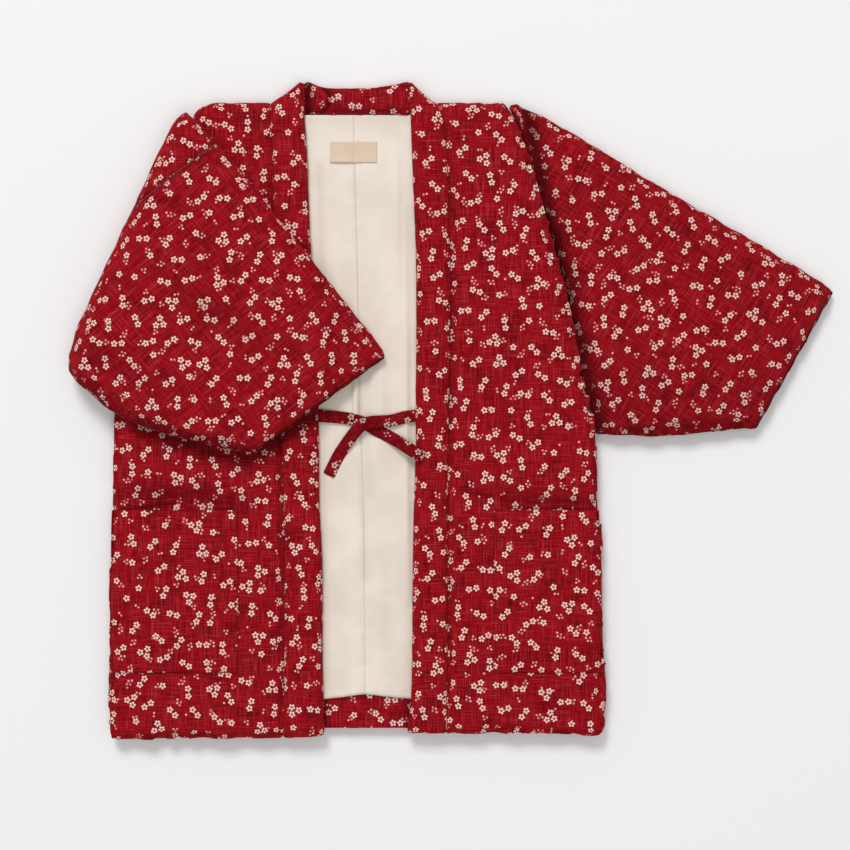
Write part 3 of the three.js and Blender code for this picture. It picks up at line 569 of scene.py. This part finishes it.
def even_copy(node, name, voxel):
    """A remeshed copy of a solid, its largest closed surface only."""
    piece = solid_copy(node, name)
    apply_modifier(piece, "REMESH", mode="VOXEL", voxel_size=voxel)
    work = bmesh.new()
    work.from_mesh(piece.data)
    left = set(work.verts)
    islands = []
    while left:
        island, edge_of = set(), [left.pop()]
        while edge_of:
            vertex = edge_of.pop()
            island.add(vertex)
            near = [e.other_vert(vertex) for e in vertex.link_edges]
            edge_of += [v for v in near if v in left]
            left.difference_update(near)
        islands.append(island)
    islands.sort(key=len)
    small = [v for island in islands[:-1] for v in island]
    bmesh.ops.delete(work, geom=small, context="VERTS")
    work.to_mesh(piece.data)
    work.free()
    return piece


def tree_of(piece):
    work = bmesh.new()
    work.from_mesh(piece.data)
    tree = BVHTree.FromBMesh(work)
    work.free()
    return tree


def tree_of_solid(node):
    solid = solid_copy(node, "measured")
    tree = tree_of(solid)
    bpy.data.objects.remove(solid)
    return tree


def reach_outline(piece, tree):
    """Puts the points of the rim and of the underside back on the solid, so that seams meet."""
    points = points_of(piece)
    for i, point in enumerate(points):
        spot, normal, _, _ = tree.find_nearest(Vector(point))
        if normal.z < RIM_TURN:
            points[i] = spot
    put_points(piece, points)


def keep_in_room(piece, tree, free):
    """Draws in each point that stands further out of its solid than its room allows."""
    points = points_of(piece)
    rooms = free(points)
    for i, point in enumerate(points):
        spot, normal, _, far = tree.find_nearest(Vector(point))
        out = (Vector(point) - spot).dot(normal)
        room = (0.1 + rooms[i] * max(0.0, normal.z)) * MM
        if out > room:
            points[i] = spot + (Vector(point) - spot) * (room / far)
    points[:, 2] = np.maximum(points[:, 2], 0)
    put_points(piece, points)


# %% [markdown]
# Remeshing leaves the open end of a sleeve a little ragged, because its slit is narrower than
# the squares. The cuff is ironed: each point near it goes to the middle of its neighbours again
# and again, and then the whole edge is drawn back to a straight line.

# %% Iron a cuff
IRON_STEPS = 16
IRON_SHARE = 0.5
CUFF_ZONE = 12 * MM
CUFF_PARTS = np.linspace(0.02, 0.98, 25)  # shares of the cuff at which its edge is measured
PART_REACH = 0.03


def iron_cuff(piece, start, end):
    """The way from start to end has the sleeve on its left."""
    points = points_of(piece)
    pairs = np.empty(len(piece.data.edges) * 2, int)
    piece.data.edges.foreach_get("vertices", pairs)
    pairs = pairs.reshape(-1, 2)
    links = np.bincount(pairs.ravel(), minlength=len(points))[:, None]
    off, along = across_line(points, start, end)
    near = np.exp(-(off / CUFF_ZONE) ** 2)[:, None]
    for _ in range(IRON_STEPS):
        total = np.zeros_like(points)
        np.add.at(total, pairs[:, 0], points[pairs[:, 1]])
        np.add.at(total, pairs[:, 1], points[pairs[:, 0]])
        points += (total / links - points) * near * IRON_SHARE
    way = np.array((end - start)[:2])
    outward = np.array([way[1], -way[0]]) / np.linalg.norm(way)
    beyond = (points[:, :2] - np.array(start[:2])) @ outward
    edge = [beyond[(np.abs(along - part) < PART_REACH) & (off < CUFF_ZONE)].max() for part in CUFF_PARTS]
    points[:, :2] -= outward * np.interp(along, CUFF_PARTS, edge)[:, None] * near
    put_points(piece, points)


# %% [markdown]
# Sewn edges touch. Every edge point that lies close to a neighbour moves sideways to it and a
# little into it, so that no floor shows through a seam. Where one piece laps over another, such
# as the body over the start of the sleeve, a pull along a line moves the lower one under it.

# %% Sew the edges together
SEW_REACH = 6.0 * MM
SEW_OVER = 1.5 * MM


def sew(piece, neighbours):
    """Moves edges sideways until they meet the pieces they are sewn to, and a little further."""
    points = points_of(piece)
    for tree in [tree_of_solid(node) for node in neighbours]:
        for i, point in enumerate(points):
            spot, _, _, far = tree.find_nearest(Vector(point), SEW_REACH)
            if spot is not None and far > 1e-5:
                move = (far + SEW_OVER) * (1 - far / SEW_REACH) ** 2 / far
                points[i, :2] += (np.array(spot) - point)[:2] * move
    put_points(piece, points)


def pull(piece, pulls):
    """Moves what lies along a line. Rows of x, y, x, y, width, move in x and in y, all in mm."""
    points = points_of(piece)
    for start, end, width, move_x, move_y in as_points(pulls):
        off, _ = across_line(points, start, end)
        points[:, :2] += np.exp(-(off / (width * MM)) ** 2)[:, None] * np.array([move_x, move_y]) * MM
    put_points(piece, points)


# %% [markdown]
# One function now takes a padded piece the whole way. It starts a little thinner than the solid,
# swells, gets its unevenness, its creases and the puckers of its seams, stays in its room, and
# meets its neighbours. The tables in the next cells say where each of those lies.

# %% The whole way of a padded piece
START_SMALLER = 1.5 * MM
CAP = 3.2 * MM
SLOW_SWELLS = (0.11, 1.1)  # size in m, height in mm
SMALL_SWELLS = (0.034, 0.55)
SIDE_FADE = (-0.4, 0.35)  # how upright the surface is where the padding's unevenness fades
TOP_FADE = (0.0, 0.6)  # the same for folds


def padded_piece(node, name, voxel, creases, puckers, free, seed, sewn=(), turn=0.0, shift=(0, 0),
                 part=None, pulls=(), painted_shades=(), cuff=None):
    """Remesh, swell, subdivide, crease, keep in its room, sew, print and hand over."""
    piece = even_copy(node, name, voxel)
    shrink(piece, START_SMALLER)
    swell(piece, CAP)
    apply_modifier(piece, "SUBSURF", levels=1, render_levels=1)
    tree = tree_of_solid(node)
    reach_outline(piece, tree)
    if cuff:
        iron_cuff(piece, *as_points([cuff])[0])
    points, normals = points_of(piece), normals_of(piece)
    height = unevenness(points, *SLOW_SWELLS, seed) + unevenness(points, *SMALL_SWELLS, seed + 5)
    for number, (start, end, reach, depth, wave) in enumerate(as_points(puckers)):
        height += pucker(points, start, end, reach, depth, wave, seed + number)
    height *= smooth_step(normals[:, 2], *SIDE_FADE)
    fold = sum((crease(points, *row) for row in as_points(creases)), np.zeros(len(points)))
    points += normals * height[:, None]
    points[:, 2] += fold * smooth_step(normals[:, 2], *TOP_FADE)
    put_points(piece, points)
    keep_in_room(piece, tree, free)
    sew(piece, sewn)
    pull(piece, pulls)
    lay_print(piece, turn, shift, part, painted_shades)
    hand_over(piece, node, PRINTED)
    return piece


def even_room(amount):
    return lambda points: np.full(len(points), amount)


# %% [markdown]
# The back is two padded halves with a seam down the middle. Almost all of it lies under the
# fronts and the lining, so it is remeshed in larger squares and only its edges are gathered.

# %% Back
BACK_SQUARES = 0.007
for side, other, edge, seed in (("left", "right", 300, 3), ("right", "left", -300, 8)):
    padded_piece(f"back_{side}", f"padded_back_{side}", BACK_SQUARES, [],
                 [(edge, 20, edge, 480, 16, 1.0, 46), (0.4 * edge, 9, edge, 6, 16, 1.1, 52)],
                 even_room(0), seed, sewn=[f"back_{other}"])

# %% [markdown]
# Each front is one long panel from its collar seam to its side. Sewing gathers the cloth into
# small ripples along every seam, and the wadding makes slow swells between them. Above each
# pocket the weight of the patch pulls two short folds.

# %% Fronts
FRONT_SQUARES = 0.0055
FRONT_ROOM = 1.4  # mm above the solid; none where the folded sleeve lies on it
LEFT_CREASES = [  # x, y, x, y, width, depth in mm; a ridge is positive
    (172, 291, 292, 287, 7, -2.4), (180, 303, 286, 302, 6, -1.6), (176, 297, 288, 294, 5, 1.2),
    (150, 720, 168, 520, 16, -1.6), (190, 730, 236, 560, 20, 1.2), (208, 560, 236, 380, 22, -1.3),
    (130, 480, 140, 300, 18, -1.2), (160, 70, 175, 20, 16, -1.3), (245, 74, 250, 14, 18, -1.5),
    (132, 240, 128, 90, 14, -1.2), (224, 60, 216, 12, 12, 1.1)]
RIGHT_CREASES = [
    (-290, 289, -180, 286, 7, -2.6), (-262, 301, -196, 299, 8, -1.8), (-300, 281, -268, 284, 6, -2.0),
    (-128, 300, -120, 120, 18, -1.2), (-175, 70, -182, 14, 16, -1.4), (-246, 66, -250, 16, 18, -1.3),
    (-110, 330, -106, 180, 12, 1.0), (-206, 60, -208, 12, 14, 1.0)]
LEFT_PUCKERS = [  # x, y, x, y, reach, depth, wave in mm
    (109, 20, 111, 700, 9, 0.9, 19), (304, 20, 292, 380, 20, 1.9, 44), (286, 400, 204, 730, 14, 1.6, 27),
    (110, 2, 300, 2, 26, 3.0, 47), (112, 775, 190, 776, 12, 1.0, 24)]
RIGHT_PUCKERS = [
    (-89, 20, -100, 650, 9, 0.9, 18), (-302, 20, -298, 440, 20, 1.9, 41), (-92, 2, -300, 2, 26, 3.0, 45),
    (-104, 775, -186, 776, 12, 1.0, 26)]


def front_left_room(points):
    return np.full(len(points), FRONT_ROOM)


def front_right_room(points):
    return FRONT_ROOM * (1 - smooth_step(points[:, 1], place(0, 300).y, place(0, 345).y))


# Painted shade: dark lines at the pocket openings and along the left collar seam, and on the right front a
# painted shadow under the folded sleeve's edge.
front_left = padded_piece("front_left", "padded_front_left", FRONT_SQUARES, LEFT_CREASES, LEFT_PUCKERS,
                          front_left_room, 13, sewn=["collar_front_left"],
                          pulls=[(204, 770, 288, 380, 6, 1.7, 0.4)],
                          painted_shades=[(182, 284.5, 284, 282.5, 2.2, 0.75), (180, 296, 290, 292, 8, 0.42),
                                  (126, 306, 164, 297, 3.4, 0.42), (109, 600, 111, 60, 3, 0.2)])
front_right = padded_piece("front_right", "padded_front_right", FRONT_SQUARES, RIGHT_CREASES, RIGHT_PUCKERS,
                           front_right_room, 21, sewn=["collar_front_right"],
                           painted_shades=[(-262, 384, -136, 338, 12, 0.5), (-136, 338, -88, 372, 12, 0.5),
                                   (-286, 281, -224, 289, 4.5, 0.7), (-262, 305, -140, 288, 14, 0.36),
                                   (-224, 279, -150, 283, 2.2, 0.6)])

# %% [markdown]
# The collar is a long folded band. Its two front ends lie along the front edges and meet the
# back-neck stretch at the shoulders, where the cloth is squeezed into a tuck that is painted with shade.

# %% Collar
COLLAR_SQUARES = 0.0042
padded_piece("collar_front_left", "padded_collar_left", COLLAR_SQUARES,
             [(88, 700, 86, 40, 9, -0.8), (74, 770, 92, 700, 8, -1.6), (86, 790, 98, 740, 7, 0.6)],
             [(108, 20, 110, 700, 8, 0.9, 17), (66, 20, 69, 740, 7, 0.7, 31), (62, 2, 108, 2, 12, 1.4, 26)],
             even_room(0.25), 31, sewn=["front_left", "collar_back_neck"], shift=(0.041, 0.013),
             pulls=[(63, 801, 62, 801, 13, -0.6, 3.4)])
# Painted shadow on the right collar where the folded sleeve's edge lies over it.
padded_piece("collar_front_right", "padded_collar_right", COLLAR_SQUARES,
             [(-66, 690, -62, 40, 9, -0.8), (-80, 790, -96, 720, 8, -1.6), (-98, 782, -86, 730, 7, 0.6)],
             [(-88, 20, -100, 700, 8, 0.9, 18), (-42, 20, -58, 740, 7, 0.7, 29),
              (-88, 2, -40, 2, 12, 1.4, 24)],
             even_room(0.25), 37, sewn=["front_right", "collar_back_neck"], shift=(0.017, 0.047),
             painted_shades=[(-88, 372, -38, 404, 13, 0.6)],
             pulls=[(-67, 801, -66, 801, 13, 0.6, 3.4)])
# Painted shade in the neck band's tuck at the left shoulder and along its lower edge over the lining.
padded_piece("collar_back_neck", "padded_collar_neck", COLLAR_SQUARES,
             [(-58, 774, 52, 775, 5, -1.4), (-62, 800, -60, 764, 6, -4.5), (-44, 797, -33, 786, 3, -3.4),
              (-33, 786, -36, 770, 3, -3.4), (-36, 770, -46, 762, 3, -3.0), (-50, 790, -46, 774, 7, 1.6)],
             [(-60, 763, 60, 763, 7, 0.9, 17)], even_room(0.4), 41,
             sewn=["collar_front_left", "collar_front_right"], shift=(0.009, 0.021),
             pulls=[(-64, 800, -57, 799, 7, -1.6, 3.0), (62, 800, 57, 799, 6, 1.0, 1.0),
                    (62, 762, 54, 761, 5, 1.6, -1.4)],
             painted_shades=[(-62, 800, -60, 764, 8, 0.8), (-44, 797, -33, 786, 2.4, 0.8),
                     (-33, 786, -36, 770, 2.4, 0.8),
                     (-36, 770, -46, 762, 2.4, 0.7), (-50, 768, 56, 766, 5, 0.35)])

# %% [markdown]
# The sleeves are flat tubes of padded cloth. The left one is laid out and drops into a valley
# along the armhole. The right one is folded over the front, so the armhole seam shows near its
# shoulder corner, and the cloth beyond that seam still belongs to the back of the body.

# %% Sleeves
SLEEVE_SQUARES = 0.005
LEFT_SLEEVE_TURN = 31.7
RIGHT_SLEEVE_TURN = 50.5
SLEEVE_ROOM = 1.6
ARMHOLE_SEAM = (-166.5, 724.7, -269.0, 646.6)
LEFT_CUFF = (485, 379, 582.5, 549)
RIGHT_CUFF = (-123.8, 349, 38.4, 469)
LEFT_SLEEVE_CREASES = [
    (205, 740, 290, 400, 7, -1.6), (224, 716, 262, 700, 8, -1.6), (246, 650, 300, 628, 9, -1.8),
    (262, 590, 330, 584, 9, -1.6), (280, 520, 340, 500, 10, -1.5), (290, 440, 360, 436, 9, -1.3),
    (330, 640, 420, 560, 18, 1.2), (400, 470, 470, 430, 20, -1.2), (480, 590, 520, 520, 14, 1.1)]
LEFT_SLEEVE_PUCKERS = [
    (196, 770, 292, 380, 22, 2.0, 33), (210, 768, 580, 550, 16, 1.5, 39), (296, 373, 480, 381, 18, 2.0, 42),
    (575, 545, 482, 384, 12, 1.3, 30)]
RIGHT_SLEEVE_CREASES = [
    (*ARMHOLE_SEAM, 2.6, -1.9), (-199, 533, -116, 488, 12, -1.8), (-300, 560, -230, 470, 20, -1.2),
    (-236, 520, -160, 440, 22, 1.1), (-120, 620, -60, 560, 16, -1.2), (-60, 520, -10, 470, 13, -1.4),
    (-310, 470, -250, 430, 13, -1.6), (-180, 400, -130, 372, 12, 1.0), (-262, 660, -214, 600, 12, 1.0)]
RIGHT_SLEEVE_PUCKERS = [
    (*ARMHOLE_SEAM, 10, 0.9, 17), (-204, 762, -350, 480, 16, 1.2, 44), (-350, 446, -130, 352, 18, 2.0, 40),
    (-160, 716, 36, 470, 14, 1.2, 38), (36, 468, -122, 350, 12, 1.4, 28)]


def beyond_armhole(points):
    """True for points on the body's side of the armhole seam."""
    start, end = place(*ARMHOLE_SEAM[:2]), place(*ARMHOLE_SEAM[2:])
    way = end - start
    return (points[:, 0] - start.x) * way.y - (points[:, 1] - start.y) * way.x > 0


# Painted shade on the sleeves: along the lower edges where the cloth rolls away from the light, dark lines
# at the cuffs, a dark band in the left armhole valley under the body's edge, the right armhole seam, two
# right-sleeve creases, and a faint broad band over the left sleeve.
padded_piece("sleeve_left", "padded_sleeve_left", SLEEVE_SQUARES, LEFT_SLEEVE_CREASES,
             LEFT_SLEEVE_PUCKERS, even_room(SLEEVE_ROOM), 47, turn=LEFT_SLEEVE_TURN, cuff=LEFT_CUFF,
             pulls=[(204, 770, 289, 374, 9, -3.6, -0.8)],
             painted_shades=[(300, 369, 485, 379, 16, 0.4), (300, 400, 470, 402, 75, 0.18), (*LEFT_CUFF, 3.5, 0.9),
                     (206, 764, 238, 620, 11, 0.8), (238, 620, 290, 380, 16, 0.85),
                     (330, 640, 520, 540, 130, 0.07)])
padded_piece("sleeve_right", "padded_sleeve_right", SLEEVE_SQUARES, RIGHT_SLEEVE_CREASES,
             RIGHT_SLEEVE_PUCKERS, even_room(SLEEVE_ROOM), 53, turn=RIGHT_SLEEVE_TURN,
             part=(beyond_armhole, 0.0, (0.02, 0.03)), cuff=RIGHT_CUFF,
             painted_shades=[(-351, 447, -279, 389, 8, 0.45), (-279, 389, -124, 349, 8, 0.5), (*RIGHT_CUFF, 4, 0.8),
                     (*ARMHOLE_SEAM, 4, 0.5), (-199, 533, -116, 488, 16, 0.2),
                     (-310, 470, -250, 430, 14, 0.2)])

# %% [markdown]
# Lining, facing, pockets, ties and label are single cloths. Their solids are turned back into
# four-sided faces and made finer, then creased. A pocket has to follow the front that was just
# swelled, so each of its points moves up or down by what the front under it moved.

# %% Thin cloth from a solid
OVER_ALL = 0.2  # a height above the whole jacket, from which rays look down


def fine_copy(node, name, levels, smooth=True):
    piece = solid_copy(node, name)
    work = bmesh.new()
    work.from_mesh(piece.data)
    bmesh.ops.join_triangles(work, faces=work.faces, angle_face_threshold=0.7,
                             angle_shape_threshold=3.2)
    work.to_mesh(piece.data)
    work.free()
    kind = "CATMULL_CLARK" if smooth else "SIMPLE"
    apply_modifier(piece, "SUBSURF", levels=levels, render_levels=levels, subdivision_type=kind)
    return piece


def height_under(tree, points):
    """Height of the first surface below each point, or nothing where there is none."""
    down = Vector((0, 0, -1))
    hits = [tree.ray_cast(Vector((p[0], p[1], OVER_ALL)), down)[0] for p in points]
    return np.array([hit.z if hit is not None else math.nan for hit in hits])


def drape(piece, new_ground, old_node):
    """Moves each point by the change from the solid under it to the swelled piece."""
    points = points_of(piece)
    change = height_under(tree_of(new_ground), points) - height_under(tree_of_solid(old_node), points)
    points[:, 2] += np.nan_to_num(change)
    put_points(piece, points)


def wrinkle(piece, creases, puckers, rise, size, seed):
    """Lifts or lowers a thin cloth as one, so its thickness stays."""
    points = points_of(piece)
    height = unevenness(points * np.array([1, 1, 0]), size, rise, seed)
    for start, end, width, depth in as_points(creases):
        height += crease(points, start, end, width, depth)
    for number, (start, end, reach, depth, wave) in enumerate(as_points(puckers)):
        height += pucker(points, start, end, reach, depth, wave, seed + number)
    points[:, 2] += height
    return points


# %% [markdown]
# A loose cloth rises where nothing holds it down. Where a collar, a sleeve or a tie lies over
# it, it may only rise as far as the room below that piece, which a ray upwards measures.

# %% Room above a thin cloth
OPEN_ROOM = 0.05
TOUCH = 0.4 * MM


def room_above(points, level, nodes):
    """How far the cloth may rise at each point before it meets one of the solids over it."""
    room = np.full(len(points), OPEN_ROOM)
    for node in nodes:
        tree = tree_of_solid(node)
        for i, point in enumerate(points):
            far = tree.ray_cast(Vector((point[0], point[1], level)), Vector((0, 0, 1)))[3]
            if far is not None:
                room[i] = min(room[i], far)
    return np.maximum(room - TOUCH, 0)


# %% [markdown]
# The back lining is the largest thin cloth that shows. It is ivory, loose and lightly pressed,
# so it has long low folds, a pleat under the ties and a seam down the middle. Its folds stand
# only a little, so painted shade in them, along the collars and under the neck band shows what the pale
# cloth would otherwise hide.

# %% Lining
LINING_CREASES = [  # x, y, x, y, width, depth in mm
    (-5, 757, 0, 560, 2.6, -1.2), (0, 560, 2, 440, 2.6, -1.2), (2, 360, 8, 250, 2.6, -1.2),
    (8, 250, 9, 60, 2.6, -1.2), (-3, 437, -2, 366, 3.6, 4.2), (10, 452, 12, 356, 7, -2.2),
    (27, 470, 26, 350, 7, 2.0), (58, 650, 61, 170, 4.5, 2.3), (47, 720, 50, 500, 5, 1.7),
    (66, 500, 66, 240, 4, -1.0), (-24, 690, -28, 450, 8, 1.9), (-38, 340, -33, 110, 7, 1.7),
    (30, 610, 34, 300, 9, 1.7), (-46, 560, -48, 440, 5, 1.5), (26, 260, 30, 80, 9, 1.6),
    (-14, 330, -10, 110, 7, -1.2), (-56, 752, 50, 750, 7, 1.3), (-30, 120, 50, 96, 16, 1.1)]
# Painted shade: the pleat and folds under the ties, both collar edges and the neck band's edge.
LINING_PAINTED_SHADES = [(2.5, 446, 4.5, 362, 4, 0.42), (10, 452, 12, 300, 8, 0.16), (30, 470, 30, 340, 9, 0.10),
                 (-46, 700, -40, 470, 5, 0.2), (-42, 400, -38, 60, 5, 0.22), (71, 740, 73, 410, 5, 0.2),
                 (70, 400, 64, 60, 8, 0.22), (-56, 757, 60, 757, 6, 0.22), (6, 350, 9, 200, 5, 0.14)]
LINING_PUCKERS = [(0, 690, 2, 440, 6, 0.5, 14), (2, 360, 8, 60, 6, 0.5, 15), (-40, 53, 60, 53, 10, 1.0, 17)]
CENTRE_SEAM = np.array([[place(x, y).y, place(x, y).x] for x, y in (
    (9.2, 0), (7.5, 267), (2, 430), (0, 560), (-5, 761))])
LINING_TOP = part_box("lining_left")[0].z + 1.5 * MM
LIFT = 1.1 * MM
UNDER_NECK = 2.8 * MM  # how far the upper edge runs on under the neck band
SEAM_HALF = 0.13 * MM
COVERS = ["collar_front_left", "collar_front_right", "sleeve_right", "tie_left", "tie_right"]
linings = []
for side, width in (("left", 0.080), ("right", 0.078)):
    lining = fine_copy(f"lining_{side}", f"cloth_lining_{side}", 3, smooth=False)
    apply_modifier(lining, "SMOOTH", factor=0.5, iterations=16, use_x=False, use_y=False)
    points = points_of(lining)
    room = room_above(points, LINING_TOP, COVERS)
    rise = wrinkle(lining, LINING_CREASES, LINING_PUCKERS, 0.7, 0.06, 61)[:, 2] - points[:, 2]
    points[:, 2] += np.clip(rise + LIFT, 0, room)
    points[:, 1] += UNDER_NECK * smooth_step(points[:, 1], place(0, 735).y, place(0, 759).y)
    seam_side = np.sign(points[:, 0].mean() - MIDDLE_X)
    to_seam = np.abs(points[:, 0] - np.interp(points[:, 1], *CENTRE_SEAM.T))
    points[:, 0] -= seam_side * SEAM_HALF * (to_seam < 1.0 * MM)
    put_points(lining, points)
    lay_print(lining, 0.0, thick=False, painted_shades=LINING_PAINTED_SHADES)
    linings.append(hand_over(lining, f"lining_{side}", LINING))

# %% [markdown]
# Inside the back hem a strip of the printed cloth is turned in, and its edge rises to a blunt
# point in the middle. It follows the same steps as the lining.

# %% Hem facing
facing = fine_copy("hem_facing", "cloth_hem_facing", 3, smooth=False)
points = points_of(facing)
room = room_above(points, LINING_TOP, COVERS[:2])
rise = wrinkle(facing, [], [(-42, 28, 66, 28, 24, 1.2, 22)], 0.5, 0.04, 67)[:, 2] - points[:, 2]
points[:, 2] += np.clip(rise + 0.5 * MM, 0, room)
put_points(facing, points)
pull(facing, [(-46, 17, 72, 17, 8, 0, -2.6)])
# Painted shade at both ends, beside the collars, and along the facing's upper edge.
lay_print(facing, 0.0, (0.03, 0.01), thick=False,
          painted_shades=[(-42, 20, -41, 50, 7, 0.6), (64, 20, 63, 50, 6, 0.6), (-42, 52, 64, 52, 3, 0.3)])
hand_over(facing, "hem_facing", PRINTED)

# %% [markdown]
# Each pocket is a patch on its front, sewn on at three sides and open at the top. The weight of
# the patch pulls the front into short folds above it; their dark lines are painted shade, laid on the
# fronts.

# %% Pockets
POCKET_CREASES = {
    "left": [(168, 272, 300, 270, 3.2, -0.9), (210, 220, 216, 110, 18, -0.7), (250, 150, 284, 100, 16, 0.6)],
    "right": [(-300, 272, -148, 272, 3.2, -0.9), (-210, 230, -214, 110, 20, -0.7),
              (-280, 150, -250, 100, 16, 0.6)]}
POCKET_PUCKERS = {
    "left": [(166, 279, 302, 277, 8, 0.8, 21), (168, 88, 302, 88, 8, 0.6, 23),
             (166, 90, 166, 276, 6, 0.5, 19)],
    "right": [(-300, 279, -146, 279, 8, 0.9, 20), (-302, 88, -146, 88, 8, 0.6, 22),
              (-145, 90, -145, 276, 6, 0.5, 18)]}
for side, ground in (("left", front_left), ("right", front_right)):
    pocket = fine_copy(f"pocket_{side}", f"cloth_pocket_{side}", 3, smooth=False)
    drape(pocket, ground, f"front_{side}")
    before = points_of(pocket)
    points = wrinkle(pocket, POCKET_CREASES[side], POCKET_PUCKERS[side], 0.35, 0.05, 71)
    before[:, 2] += np.maximum(points[:, 2] - before[:, 2] + 0.6 * MM, 0)
    put_points(pocket, before)
    lay_print(pocket, 0.0, (0.013, 0.022), thick=False)
    hand_over(pocket, f"pocket_{side}", PRINTED)

# %% [markdown]
# The ties are narrow strips that start under the collar bands and cross once. Their path is in
# their solids. Here they get softer edges and the print, and their ends are drawn under the
# collars.

# %% Ties
# Painted shade over the ties, for the shadow they lie in between the high collars.
TIE_ENDS = {"left": (68, 403, 68, 390, 6, 3.0, 0.4), "right": (-46, 407, -44, 394, 6, -3.0, 1.0)}
for side, turn, length in (("left", 48.0, 0.158), ("right", -20.0, 0.148)):
    tie = fine_copy(f"tie_{side}", f"cloth_tie_{side}", 2, smooth=False)
    apply_modifier(tie, "SMOOTH", factor=0.4, iterations=2)
    pull(tie, [TIE_ENDS[side]])
    lay_print(tie, turn, (0.004, 0.006), thick=False, painted_shades=[(-60, 390, 90, 350, 80, 0.42)])
    hand_over(tie, f"tie_{side}", PRINTED)

# %% [markdown]
# The label is a bare ribbon below the neck. It is sewn on along its upper edge, so that edge
# follows the lining and the lower edge lifts a little.

# %% Label
LOOSE_EDGE = 9 * MM  # height of the strip that curls
CURL = (0.7, 0.9)  # mm, the even and the wavy part
CURL_WAVES = 95
label = fine_copy("label", "cloth_label", 5, smooth=False)
points = points_of(label)
ground = np.nanmax([height_under(tree_of(lining), points) for lining in linings], axis=0)
ground = np.where(np.isnan(ground), np.nanmean(ground), ground)
low = place(0, 704).y
lifted = 1 - smooth_step(points[:, 1], low, low + LOOSE_EDGE)
curl = (CURL[0] + CURL[1] * np.sin((points[:, 0] - points[:, 0].min()) * CURL_WAVES)) * MM * lifted
points[:, 2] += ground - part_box("label")[0].z + TOUCH + np.maximum(curl, 0)
put_points(label, points)
hand_over(label, "label", LABEL)
